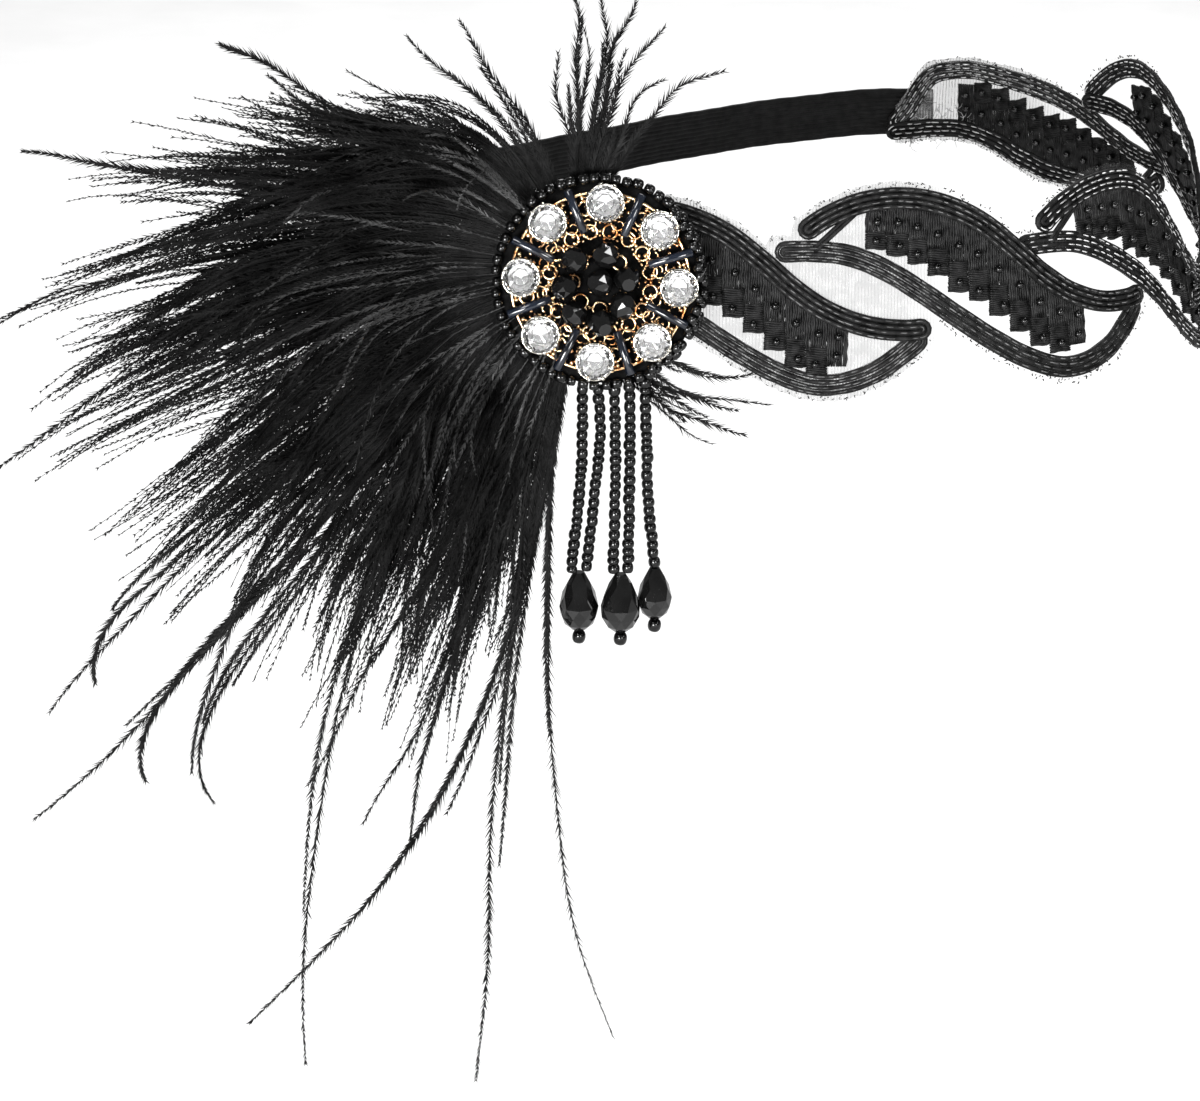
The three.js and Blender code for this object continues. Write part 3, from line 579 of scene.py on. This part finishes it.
def add_lace():
    """Bundles of four cords, each a little off the wall's middle so that they can cross."""
    cords = Skin()
    stitches = Skin()
    shaded_stitches = Skin()
    for leaf in range(len(LEAVES)):
        for table in (UPPER_BUNDLE, LOWER_BUNDLE):
            line = bundle_line(table, leaf, 110)
            for aside, inset in ((1.5 * CORD_PITCH, 1.5 * CORD_PITCH + 0.6), (0.5 * CORD_PITCH, 2.6)):
                path = cord_loop(line, aside, inset)
                level = BUNDLE_LIFT if table is UPPER_BUNDLE else -BUNDLE_LIFT
                out = level * LEAVES[leaf, 4] + 0.12 * np.sin(path[:, 0] * 0.9 + leaf)
                sweep(cords, wall_points(path[:, 0], path[:, 1], out), CORD_RADIUS, 7,
                      wall_faces(path[:, 0], path[:, 1]), closed=True)
                # The first two leaves take the darker thread: painted shade over their highlights
                add_stitches(stitches if leaf > 1 else shaded_stitches, path, out)
        add_strut(cords, leaf)
    make("lace_cords", cords, CORD, "cord_lace", ["lace_band"])
    make("lace_stitches_painted_highlight", stitches, PAINTED_HIGHLIGHT_THREAD, "cord_lace")
    make("lace_stitches_painted_shade", shaded_stitches, SHADED_HIGHLIGHT_THREAD, "cord_lace")


def add_stitches(skin, path, out):
    way = distances(path)
    for start in np.arange(0.8, way[-1] - STITCH_LENGTH, STITCH_PITCH):
        if uniform() < 0.08:
            continue
        start = start + uniform(-0.25, 0.25)
        at = start + np.linspace(0, STITCH_LENGTH, 4) * uniform(0.6, 1.1)
        along = np.interp(at, way, path[:, 0])
        rise = np.interp(at, way, path[:, 1]) + uniform(-0.12, 0.12)
        middle = np.interp(at, way, out)
        arch = np.array([-0.12, 0.05, 0.05, -0.12])
        face = wall_faces(along, rise)
        for sense in (1, -1):
            line = wall_points(along, rise, middle + sense * (CORD_RADIUS + arch))
            sweep(skin, line, STITCH_RADIUS, 4, face, flat=0.8)


def add_strut(skin, leaf):
    share = np.linspace(0, 1, 8)
    along, rise = on_leaf(leaf, 0.06 + 0.11 * share, 0.45 + 0.45 * share)
    for aside in (-0.55, 0.55):
        sweep(skin, wall_points(along, rise + aside, 0), 0.5, 6, wall_faces(along, rise))


def add_columns():
    """Satin stitch columns: upright threads over threads that run across, with a bead or two on each."""
    threads = Skin()
    beads = Skin()
    bead = seed_bead(LACE_BEAD / 2, 1.4, 0.26)
    last = len(COLUMN_DROPS) - 1
    for leaf, (_, length, reach, _, side) in enumerate(LEAVES):
        for index, drop in enumerate(COLUMN_DROPS):
            share = 1 - (LAST_COLUMN + (last - index) * COLUMN_PITCH) / (length * LEAF_LENGTH)
            middle, top = on_leaf(leaf, share, np.interp(share, *UPPER_BUNDLE.T))
            height = BUNDLE_WIDTH / 2 + drop * reach * LEAF_REACH
            split = height * (0.62 if index < last else 1)
            out = 0.12 * side * (1 if index % 2 else -1)
            for thread in np.arange(-4, 5):
                aside = middle + thread * THREAD_PITCH + uniform(-0.06, 0.06)
                down = np.linspace(0, split + 0.3, 8)
                along = aside + 0.14 * np.sin(down * 1.7 + thread * 0.8) + np.linspace(0.2, -0.2, 8)
                swell = THREAD_RADIUS * np.sin(np.linspace(0.5, math.pi - 0.5, 8)) ** 0.3
                line = wall_points(along, top - side * down, out + uniform(-0.1, 0.1))
                sweep(threads, line, swell, 5, wall_faces(along, top - side * down), flat=1.35)
            for down in np.arange(split + 0.3, height, 0.5):
                half = COLUMN_PITCH / 2 + uniform(0.0, 0.2)
                across = np.linspace(-half, half, 6)
                along = middle + across
                rise = top - side * (down + 0.14 * np.cos(across * 1.4 + down))
                swell = THREAD_RADIUS * np.array([0.7, 1, 1, 1, 1, 0.7])
                line = wall_points(along, rise, out + uniform(-0.1, 0.1))
                sweep(threads, line, swell, 5, wall_faces(along, rise), flat=1.45)
            for down in [height * 0.45] if height < 10 else [height * 0.42, height - 2.2]:
                along = middle + uniform(-0.5, 0.5)
                rise = top - side * down
                centre = wall_points(along, rise, side * (0.75 + LACE_BEAD * 0.3))
                face = wall_faces(along, rise)
                beads.add(placed(bead[0], centre, unit(np.array([0.25, 0.1, 1.0]) + 0.5 * face)), bead[1])
    make("satin_columns", threads, SATIN, "cord_lace")
    make("lace_beads", beads, SEED, "black_glass")


def lace_edges(along):
    """The lowest and highest rise of the net at ways along the lace: past the cords by its margin."""
    low = np.full(len(along), np.inf)
    high = np.full(len(along), -np.inf)
    for leaf in range(len(LEAVES)):
        for table in (UPPER_BUNDLE, LOWER_BUNDLE):
            line = bundle_line(table, leaf, 200)
            ahead = unit(np.gradient(line, axis=0))
            slant = np.interp(along, line[:, 0], 1 / np.maximum(0.45, np.abs(ahead[:, 0])))
            middle = np.interp(along, line[:, 0], line[:, 1])
            half = BUNDLE_WIDTH / 2 * slant + NET_MARGIN
            inside = (along >= line[0, 0] - 1) & (along <= line[-1, 0] + 1)
            low = np.where(inside, np.minimum(low, middle - half), low)
            high = np.where(inside, np.maximum(high, middle + half), high)
    return low, high


def add_net():
    """The net behind the cords, cut a little past them, with stray thread ends."""
    along = np.arange(LACE_START - 3.0, LACE_END - 4.0, 0.8)
    low, high = lace_edges(along)
    low += uniform(-0.3, 0.3, len(along))
    high += uniform(-0.3, 0.3, len(along))
    levels = np.linspace(0, 1, 15)
    rise = low[:, None] + (high - low)[:, None] * levels
    points = wall_points(along[:, None], rise, -0.05)
    net = Skin()
    net.add(points, [grid(len(along), len(levels))])
    piece = make("tulle_net", net, net_material(), "cord_lace")
    ends = Skin()
    for edge, sense in ((low, -1), (high, 1)):
        for index in range(2, len(along) - 2):
            for _ in range(random.integers(0, 3)):
                turn = uniform(0, TURN)
                place = (along[index] + uniform(-0.4, 0.4), edge[index] - sense * uniform(0.0, 1.2))
                add_fray(ends, place, turn, uniform(0.25, 0.7), 0.8, uniform(0.09, 0.15))
    make("net_thread_ends", ends, CORD, "cord_lace")
    # The far end's frays take the pale thread: painted glints on the net
    frays = Skin()
    for _ in range(70):
        place = (LACE_END - uniform(8, 24), uniform(-3.0, 9.0))
        add_fray(frays, place, uniform(0, TURN), uniform(1.0, 3.5), 2.0, 0.07)
    make("net_frays", frays, PAINTED_HIGHLIGHT_THREAD, "cord_lace")


def add_fray(skin, place, turn, reach, bend, radius):
    share = np.linspace(0, 1, 5)
    turns = turn + uniform(-bend, bend) * share
    line = wall_points(place[0] + reach * share * np.cos(turns), place[1] + reach * share * np.sin(turns),
                       uniform(-0.5, 0.5))
    sweep(skin, line, radius, 4)


# Elastic

def add_elastic():
    start = LACE_END - ELASTIC_LAP
    end = LOOP_LENGTH + LACE_START + ELASTIC_LAP
    clear = (LACE_THICK + ELASTIC_THICK) / 2 + GAP
    share = np.linspace(0, 1, 150)
    along = start + (end - start) * share
    middle = clear - 2 * clear * ease(share, 0.25, 0.9)
    lift = ELASTIC_RISE * from_table(ELASTIC_SWAY, share)
    phase = np.linspace(0, 1, ELASTIC_RIBS * 6 + 1)
    across = (phase - 0.5) * ELASTIC_WIDTH
    relief = 0.5 * ELASTIC_THICK * (0.5 + 0.5 * np.abs(np.sin(math.pi * ELASTIC_RIBS * phase)) ** 0.7)
    section = np.vstack([np.stack([across, relief], 1), np.stack([across, -relief], 1)[::-1]])
    waver = 0.12 * np.sin(along * 0.21) + 0.06 * np.sin(along * 0.9)
    rise = lift[:, None] + section[None, :, 0] + waver[:, None]
    out = middle[:, None] + section[None, :, 1]
    points = wall_points(along[:, None], rise, out)
    band = Skin()
    count = len(section)
    ring = np.arange(count)[None, :]
    band.add(points, [grid(len(along), count, False, True), ring, (len(along) - 1) * count + ring[:, ::-1]])
    make("elastic_ribs", band, ELASTIC, "ribbed_elastic", ["elastic_band"])


# Medallion: built in its own frame, x to the right, y up its face and z out of it

def on_medallion(points):
    tilt = math.pi / 2 - WALL_LEAN
    place = wall_points(0, MEDALLION_RISE)
    x, y, z = points.T
    return np.stack([x + place[0], y * math.cos(tilt) - z * math.sin(tilt) + place[1],
                     y * math.sin(tilt) + z * math.cos(tilt) + place[2]], 1)


def numbered(name, count):
    return [f"{name}_{number}" for number in range(1, count + 1)]


def round_place(radius, turn, level=0.0):
    return np.array([radius * math.cos(turn), radius * math.sin(turn), level])


def add_felt():
    rows = [(0, 0), (0.5, 0), (0.94, 0.02), (0.99, 0.2), (1, 0.5), (0.99, 0.8), (0.94, 0.98), (0.5, 1),
            (0, 1)]
    profile = [(radius * FELT_RADIUS, FELT_LAYER + level * FELT_THICK) for radius, level in rows]
    points, faces = lathe(profile, 96)
    turn = np.arctan2(points[:, 1], points[:, 0])
    uneven = 1 + 0.008 * np.sin(turn * 7 + 1) + 0.006 * np.sin(turn * 17)
    points[:, :2] *= uneven[:, None]
    felt = Skin()
    felt.add(points, faces)
    make("felt_disc", felt, FELT, "black_felt", ["felt_backing"], carry=on_medallion)


def stone_turn(index):
    """The turn of a stone round the medallion, or between two at a half."""
    return STONE_TURN + TURN * index / STONE_COUNT


def add_filigree():
    """Open wirework: a rim, rings round the pierced places, scrolls and grains."""
    gold = Skin()
    level = PLATE_LAYER + PLATE_THICK / 2
    grain = lathe([(0, -0.5), (0.35, -0.35), (0.5, 0), (0.35, 0.35), (0, 0.5)], 7)

    def add_grain(radius, turn, size, lift=0.6):
        gold.add(placed(grain[0] * size, round_place(radius, turn, level + lift)), grain[1])

    def add_ring(centre, radius, width, steps):
        sweep(gold, centre + ring_points(radius, even_turns(steps)), width, 6, (0, 0, 1), closed=True)

    add_ring(round_place(0, 0, level), PLATE_RADIUS - 0.4, 0.4, 90)
    for circle, count, shift in PIERCE_RINGS:
        for index in range(count):
            turn = TURN * (index + shift) / count
            add_ring(round_place(circle * PLATE_RADIUS, turn, level), PIERCE_WIDTH / 2 + 0.2, 0.3, 20)
            add_grain(circle * PLATE_RADIUS, turn + math.pi / count, 1)
    for index in range(64):
        add_grain(10.2 + 0.4 * math.sin(index * 2.4), TURN * index / 64, uniform(0.6, 1.0))
    for index in range(STONE_COUNT):
        centre = round_place(STONE_CIRCLE, stone_turn(index))
        for angle in even_turns(24):
            place = centre + round_place(STONE_DIAMETER / 2 + 0.2, angle)
            radius = math.hypot(place[0], place[1])
            if radius < PLATE_RADIUS:
                add_grain(radius, math.atan2(place[1], place[0]), uniform(0.5, 0.9), 0.9)
        between = stone_turn(index + 0.5)
        for sense in (-1, 1):
            share = np.linspace(0, 1, 14)
            curl = between + sense * 2.3 * math.pi * share
            reach = 2.1 * (1 - 0.72 * share)
            middle = round_place(13.6, between + sense * 0.14, level + 0.7)
            sweep(gold, middle + ring_points(reach, curl), 0.2, 5, (0, 0, 1))
            add_grain(19.2, between + sense * 0.12, 1.2)
            add_grain(11.8, between + sense * 0.2, 1.2)
        add_grain(16.2, between, 1.2)
    make("filigree_wires", gold, GOLD, "gold_filigree", ["filigree_plate"], carry=on_medallion)


def add_edge_beads():
    """The sewn ring of seed beads, with part of a second row on the right."""
    beads = Skin()
    level = FELT_LAYER + FELT_THICK - 0.4
    for index in range(EDGE_BEAD_COUNT):
        turn = TURN * (index + uniform(-0.12, 0.12)) / EDGE_BEAD_COUNT
        size = EDGE_BEAD * uniform(1.02, 1.2)
        points, faces = seed_bead(size / 2, size * uniform(0.75, 0.95), 0.3)
        reach = EDGE_CIRCLE + uniform(-0.25, 0.25)
        along = np.array([-math.sin(turn), math.cos(turn), uniform(-0.25, 0.25)])
        centre = round_place(reach, turn, level + 0.7 + uniform(-0.2, 0.3))
        beads.add(placed(points, centre, along), faces)
        if -62 < (math.degrees(turn) + 180) % 360 - 180 < 38 and index % 5 != 2:
            outer = round_place(reach - 0.9, turn + 0.05, level + 2.6)
            beads.add(placed(points * 0.92, outer, along + np.array([0.2, 0.1, 0.3])), faces)
    make("edge_seed_beads", beads, SEED, "black_glass", ["edge_bead_ring"], carry=on_medallion)


# A cut stone from its point up to its table, in shares of its radius and height
CUT = ((0, 0.14), (0.62, 0.36), (1, 0.56), (0.98, 0.62), (0.7, 0.92), (0.5, 1), (0, 1))
FOIL_CUT = ((0.9, 0.48), (0.4, 0.22), (0, 0.12))
CLAW = ((0.99, 0.2), (1.03, 0.48), (0.98, 0.62), (0.86, 0.7))


def add_stones():
    settings = Skin()
    stones = Skin()
    foils = Skin()
    radius = STONE_DIAMETER / 2
    for index in range(STONE_COUNT):
        turn = stone_turn(index)
        centre = round_place(STONE_CIRCLE, turn, STONE_LAYER)
        spin = turn + uniform(-0.2, 0.2)
        cup = lathe([(0, 0), (0.7, 0), (0.92, 0.3), (1.0, 0.5), (0.97, 0.56), (0.92, 0.5), (0.86, 0.34),
                     (0.5, 0.12), (0, 0.1)], 32)
        cup_points = cup[0] * np.array([radius, radius, STONE_HEIGHT])
        settings.add(placed(cup_points, centre, spin=spin), cup[1])
        for claw in range(8):
            angle = spin + TURN * (claw + 0.5) / 8
            claw = sized(CLAW, radius, STONE_HEIGHT)
            path = [centre + round_place(reach, angle, level) for reach, level in claw]
            face = round_place(1, angle, 0.4)
            sweep(settings, spline(path, 7), np.linspace(0.62, 0.42, 7), 7, face, flat=0.55)
        stone = lathe(sized(CUT, STONE_FIT * radius, STONE_HEIGHT), 8, stagger=True)
        tilt = np.array([uniform(-0.04, 0.04), uniform(-0.04, 0.04), 1])
        stones.add(placed(stone[0], centre, tilt, spin), stone[1])
        foil = lathe(sized(FOIL_CUT, radius, STONE_HEIGHT), 8, stagger=True)
        foils.add(placed(foil[0], centre - np.array([0, 0, 0.06]), tilt, spin + 0.2), foil[1])
    nodes = numbered("rhinestone", STONE_COUNT)
    make("claw_settings", settings, SILVER, "rhinestone", carry=on_medallion)
    make("stone_foils", foils, FOIL, "rhinestone", smooth=False, carry=on_medallion)
    make("cut_stones", stones, STONE, "rhinestone", nodes, smooth=False, carry=on_medallion)


def add_bugles():
    """Six-sided glass tubes with a bore, their edges a little rounded."""
    tubes = Skin()
    half = (BUGLE_OUTER - BUGLE_INNER) / 2
    radius = BUGLE_DIAMETER / 2
    rows = [(0.45, -0.9), (0.45, -1), (0.8, -1), (1, -0.96), (1, 0.96), (0.8, 1), (0.45, 1), (0.45, 0.9)]
    for index in range(STONE_COUNT):
        turn = stone_turn(index + 0.5)
        points, faces = lathe(sized(rows, radius, half), 12)
        angle = np.arctan2(points[:, 1], points[:, 0])
        points[:, :2] *= (1 - 0.05 * np.cos(angle * 6))[:, None]
        lean = uniform(-0.05, 0.05)
        centre = round_place((BUGLE_INNER + BUGLE_OUTER) / 2, turn, STONE_LAYER + radius + 0.3)
        tubes.add(placed(points, centre, round_place(1, turn + lean, uniform(-0.04, 0.05))), faces)
    nodes = numbered("bugle_bead", STONE_COUNT)
    make("bugle_tubes", tubes, BUGLE, "bugle_glass", nodes, carry=on_medallion)


# A faceted bead from pole to pole, in shares of its size
FACETED = ((0, -0.5), (0.24, -0.5), (0.42, -0.27), (0.5, 0), (0.42, 0.27), (0.24, 0.5), (0, 0.5))


def add_jets():
    jets = Skin()
    size = JET_SWELL * JET_DIAMETER
    for turn, circle in JET_PLACES:
        points, faces = lathe(sized(FACETED, size, size), 8, stagger=True)
        centre = round_place(circle * JET_DIAMETER, math.radians(turn), STONE_LAYER + JET_DIAMETER / 2)
        axis = np.array([uniform(-0.7, 0.7), uniform(-0.7, 0.7), 1])
        jets.add(placed(points, centre, axis, uniform(0, 1)), faces)
    nodes = numbered("jet_bead", len(JET_PLACES))
    make("jet_facets", jets, JET, "black_glass", nodes, smooth=False, carry=on_medallion)


# Strands

def under_edge(across):
    """A point of the medallion's lower edge, in the middle of the felt's thickness."""
    down = -math.sqrt((MEDALLION_DIAMETER / 2) ** 2 - across ** 2)
    return on_medallion(np.array([[across, down, FELT_LAYER + FELT_THICK / 2]]))[0]


def strand_line(route, count):
    lowest = under_edge(0)
    points = []
    for across, down in route["points"]:
        aside = across * DROP_DIAMETER
        inner = max(0.0, abs(aside) - STRAND_DIAMETER / 2)
        top = under_edge(inner)[2] - GAP if down == 0 else lowest[2]
        points.append((lowest[0] + aside, lowest[1] - route["ahead"] * down, top - down * STRAND_LENGTH))
    points[0] = (*points[0][:2], points[0][2] + 1.6)
    return spline(points, count)


def add_strands():
    for number, route in enumerate(STRAND_ROUTES, 1):
        line = strand_line(route, 400)
        way = distances(line)
        ahead = unit(np.gradient(line, axis=0))
        beads = Skin()
        at = 0.0
        while at < way[-1] - 0.9:
            height = random.choice([1.5, 1.9, 2.1, 2.2, 2.3, 2.7], p=[0.12, 0.2, 0.24, 0.22, 0.16, 0.06])
            size = STRAND_DIAMETER * uniform(0.92, 1.06)
            index = min(np.searchsorted(way, at + height / 2), len(line) - 1)
            wobble = np.array([uniform(-0.12, 0.12), uniform(-0.12, 0.12), 0])
            points, faces = seed_bead(size / 2, height * 0.97, 0.34, 16, 10)
            beads.add(placed(points, line[index] + wobble, ahead[index] + wobble * 0.8), faces)
            at += height + 0.08
        sweep(beads, line[::16], 0.45, 5)
        make(f"strand_beads_{number}", beads, SEED, "black_glass", [f"bead_strand_{number}"])


# A drop from its foot up, in shares of its diameter and length
DROP_ROWS = ((0.0, -0.5), (0.18, -0.5), (0.36, -0.4), (0.48, -0.24), (0.5, -0.08), (0.42, 0.14), (0.29, 0.33),
             (0.14, 0.5), (0.0, 0.5))


def add_drops():
    drops = Skin()
    ends = Skin()
    lowest = under_edge(0)
    for index, size in enumerate(DROP_SIZES):
        routes = [route for route in STRAND_ROUTES if route["drop"] == index]
        across = np.mean([route["points"][-1][0] for route in routes]) * DROP_DIAMETER
        top = lowest[2] - STRAND_LENGTH - GAP
        front = lowest[1] - routes[0]["ahead"]
        points, faces = lathe(sized(DROP_ROWS, DROP_DIAMETER * size, DROP_LENGTH * size), 9, stagger=True)
        centre = (lowest[0] + across, front, top - size * DROP_LENGTH / 2)
        drops.add(placed(points, centre, (0, 0, 1), 0.35 * index + 0.2), faces)
        bead, bead_faces = seed_bead(END_BEAD / 2, END_BEAD * 0.86, 0.22, 18, 12)
        below = top - size * DROP_LENGTH - GAP - END_BEAD / 2
        centre = (lowest[0] + across, front, below)
        ends.add(placed(bead, centre, (0.12, -0.15, 1)), bead_faces)
        link = [(lowest[0] + across, front, top - size * DROP_LENGTH + 0.6), centre]
        sweep(ends, spline(link, 4), 0.5, 6)
    make("drop_facets", drops, JET, "black_glass", numbered("glass_drop", len(DROP_SIZES)), smooth=False)
    make("end_seed_beads", ends, SEED, "black_glass", numbered("end_bead", len(DROP_SIZES)))


# Plume

def plume_points(across, height, out):
    """Points of the plume: a place in its plane, and how far they stand off its layer."""
    half = MEDALLION_DIAMETER / 2
    lean = np.clip(-height, -half, half) * math.tan(WALL_LEAN)
    foot = -SEAT[1]
    return np.stack([across, foot - (PLUME_MIDDLE / math.cos(WALL_LEAN) + lean + out), height], -1)


def guide_points(row, share):
    """Points of a lock's middle line at shares of its way, for rows and shares of the same shape."""
    tip_angle, tip, bow_angle, bow, lift = (row[..., column] for column in range(5))
    tip_place = PLUME_ROOT + PLUME_REACH * tip[..., None] * on_angle(tip_angle)
    bow_place = PLUME_ROOT + PLUME_REACH * bow[..., None] * on_angle(bow_angle)
    s = share[..., None]
    flat = (1 - s) ** 2 * PLUME_ROOT + 2 * s * (1 - s) * bow_place + s ** 2 * tip_place
    way = 2 * (1 - s) * (bow_place - PLUME_ROOT) + 2 * s * (tip_place - bow_place)
    reach = np.linalg.norm(flat - PLUME_ROOT, axis=-1)
    past = np.clip((reach - PLUME_CLEAR) / (tip * PLUME_REACH - PLUME_CLEAR), 0, 1.1)
    return flat, unit(way), lift * PLUME_DEPTH * past, past


def on_angle(degrees):
    return np.stack([np.cos(np.radians(degrees)), np.sin(np.radians(degrees))], -1)


def barb_lines(rows, width, start, end, steps, loose=1.0):
    """Middle lines of barbs along the guide rows, each in its own place across and deep in its lock."""
    count = len(rows)
    share = start[:, None] + (end - start)[:, None] * np.linspace(0, 1, steps)
    flat, way, out, past = guide_points(np.broadcast_to(rows[:, None], (count, steps, rows.shape[1])), share)
    side = np.stack([-way[..., 1], way[..., 0]], -1)
    spot = uniform(-1, 1, (count, 1))
    deep = uniform(-1, 1, (count, 1)) * np.sqrt(1 - spot ** 2)
    swell = (0.35 + 0.65 * ease(share, 0, 0.4)) * (1 - 0.78 * ease(share, 0.5, 1.02))
    half = width[:, None] / 2 * swell
    drift = loose * random.normal(0, 0.2, (count, 1)) * width[:, None] * (share - start[:, None]) ** 2
    sway = 2.2 * share * np.sin(share * uniform(6, 10) + uniform(0, 6))
    ripple = 0.8 * np.sin(share * uniform(8, 20, (count, 1)) + uniform(0, 6, (count, 1)))
    flat = flat + side * (spot * half + drift + loose * (sway + ripple * share))[..., None]
    hang = np.clip(-np.cos(np.radians(rows[:, :1])), 0, 1)
    droop = loose * uniform(0, 8, (count, 1)) * hang * ease(share, 0.55, 1.15)
    depth = out + deep * half * 0.5 * ease(past, 0.0, 0.3)
    depth = depth + loose * random.normal(0, 2.0, (count, 1)) * share ** 2
    depth = np.clip(depth, -1.2, PLUME_DEPTH + 8)
    return plume_points(flat[..., 0], flat[..., 1] - droop, depth)


def add_barbs(skin, lines, shaft, barbule, pitch, open_angle):
    """Barbs with a fine shaft and barbules down both sides, each barbule one slim blade."""
    count, steps, _ = lines.shape
    ahead = unit(np.gradient(lines, axis=1))
    front = unit(np.array([0.0, -1.0, 0.0]) + random.normal(0, 0.35, (count, 1, 3)))
    side = unit(np.cross(ahead, np.broadcast_to(front, ahead.shape)))
    up = np.cross(side, ahead)
    taper = np.linspace(1, 0.3, steps)[None, :, None] * shaft[:, None, None]
    turns = even_turns(3)
    rings = [lines + taper * (math.cos(turn) * side + math.sin(turn) * up) for turn in turns]
    points = np.stack(rings, 2)
    quads = grid(steps, 3, False, True)
    faces = quads[None] + (np.arange(count) * steps * 3)[:, None, None]
    skin.add(points, [faces.reshape(-1, 4)])
    length = np.linalg.norm(np.diff(lines, axis=1), axis=2).sum(1).mean()
    blades = max(8, int(length / pitch))
    at = np.linspace(0, steps - 1.001, blades)
    low = at.astype(int)
    part = (at - low)[None, :, None]
    share = at / (steps - 1)
    for sense in (-1, 1):
        jitter = uniform(-0.5, 0.5, (count, blades, 1)) * (steps / blades)
        mix = np.clip(part + jitter, 0, 1)
        base = lines[:, low] * (1 - mix) + lines[:, low + 1] * mix
        way = ahead[:, low]
        across = side[:, low] * sense
        lifted = up[:, low] * random.normal(0, 0.45, (count, blades, 1))
        angle = np.radians(open_angle) * uniform(0.7, 1.25, (count, blades, 1))
        toward = unit(way * np.cos(angle) + unit(across + lifted) * np.sin(angle))
        body = ease(share, -0.05, 0.2) * (1 - 0.55 * ease(share, 0.75, 1.0))
        reach = barbule[:, None, None] * body[None, :, None] * uniform(0.55, 1.15, (count, blades, 1))
        width = BLADE_WIDTH * unit(np.cross(toward, up[:, low] + 0.3 * across))
        corners = np.stack([base - width, base + width, base + toward * reach], 2)
        number = np.arange(count * blades * 3).reshape(-1, 3)
        skin.add(corners, [number])


def blended_rows(table, count, shrink):
    """Rows between the table's own, so that the fan has no even steps."""
    at = uniform(0, len(table) - 1.001, count)
    low = at.astype(int)
    part = (at - low)[:, None]
    rows = table[low] * (1 - part) + table[low + 1] * part
    rows[:, 0] += random.normal(0, 2.0, count)
    rows[:, 1] *= uniform(*shrink, count)
    rows[:, 2] += random.normal(0, 5.0, count)
    rows[:, 3] *= uniform(0.85, 1.15, count)
    rows[:, 4] += random.normal(0, 0.12, count)
    return rows


def add_plume():
    skins = [Skin() for _ in range(5)]
    between = blended_rows(PLUME_LOCKS, TUFT_COUNT, (0.62, 1.06))
    tufts = [(row, LOCK_BARBS, LOCK_WIDTH * row[5], (0.62, 1.0)) for row in PLUME_LOCKS]
    tufts += [(row, TUFT_BARBS, TUFT_WIDTH, (0.74, 1.03)) for row in between]
    for number, (row, count, wide, ends) in enumerate(tufts):
        rows = np.repeat(row[None], count, 0)
        lines = barb_lines(rows, np.full(count, wide), uniform(0.02, 0.42, count), uniform(*ends, count), 20)
        add_barbs(skins[number % 5], lines, uniform(0.2, 0.32, count), uniform(1.3, 2.6, count), 0.95, 28)
    for number, skin in enumerate(skins, 1):
        nodes = ["plume"] if number == 1 else ()
        make(f"plume_barbs_{number}", skin, FEATHER, "ostrich_feather", nodes)
    wisps = Skin()
    for row in PLUME_WISPS:
        rows = np.repeat(row[None], 3, 0)
        start = np.full(3, 0.03)
        end = np.array([1.0, uniform(0.55, 0.85), uniform(0.45, 0.7)])
        lines = barb_lines(rows, np.array([0.5, 5.0, 6.0]), start, end, 44, 0.6)
        add_barbs(wisps, lines, np.array([0.3, 0.2, 0.2]), np.array([3.4, 2.9, 2.9]), 0.6, 27)
    make("plume_wisps", wisps, FEATHER, "ostrich_feather")
    # Paler barbs over the front of the plume: painted highlights on the black feathers
    highlight_barbs = Skin()
    count = PAINTED_HIGHLIGHT_BARBS
    rows = blended_rows(PLUME_LOCKS, count, (0.5, 0.9))
    lines = barb_lines(rows, np.full(count, 9.0), uniform(0.15, 0.4, count), uniform(0.6, 0.9, count), 24)
    lines[..., 1] -= 5.0
    add_barbs(highlight_barbs, lines, uniform(0.07, 0.12, count), uniform(1.2, 2.0, count), 1.1, 24)
    make("plume_painted_highlights", highlight_barbs, PAINTED_HIGHLIGHT_FEATHER, "ostrich_feather")


# Stage, lights and camera

def add_stage():
    floor = Skin()
    half = FLOOR_SIZE / 2
    floor.add([(-half, -half, FLOOR_LEVEL), (half, -half, FLOOR_LEVEL), (half, half, FLOOR_LEVEL),
               (-half, half, FLOOR_LEVEL)], [np.array([[0, 1, 2, 3]])])
    make("studio_floor", floor, FLOOR, None)
    world = bpy.data.worlds.new("studio")
    bpy.context.scene.world = world
    world.use_nodes = True
    sky = world.node_tree.nodes["Background"]
    sky.inputs["Color"].default_value = (1, 1, 1, 1)
    sky.inputs["Strength"].default_value = SKY_STRENGTH


def add_light(name, place, aim, size, power):
    light = bpy.data.lights.new(name, "AREA")
    light.shape = "RECTANGLE"
    light.size, light.size_y = (length * MM for length in size)
    light.energy = power
    lamp = put(name, light)
    lamp.location = np.array(place) * MM
    way = np.array(aim) - np.array(place)
    flat = math.hypot(way[0], way[1])
    lamp.rotation_euler = (math.atan2(flat, -way[2]), 0, math.atan2(-way[0], way[1]))


def add_camera():
    camera = bpy.data.cameras.new("camera")
    camera.lens = CAMERA_LENS
    camera.sensor_width = CAMERA_SENSOR
    camera.sensor_fit = "HORIZONTAL"
    camera.clip_start = 0.05
    camera.clip_end = 50
    eye = put("camera", camera)
    eye.location = np.array(CAMERA_PLACE) * MM
    eye.rotation_euler = (math.radians(90 - CAMERA_PITCH), 0, 0)
    bpy.context.scene.camera = eye


add_camera()
add_stage()
for light_row in LIGHTS:
    add_light(*light_row)
add_lace()
add_columns()
add_net()
add_elastic()
add_felt()
add_filigree()
add_edge_beads()
add_stones()
add_bugles()
add_jets()
add_strands()
add_drops()
add_plume()

bpy.context.scene.view_settings.view_transform = "Standard"
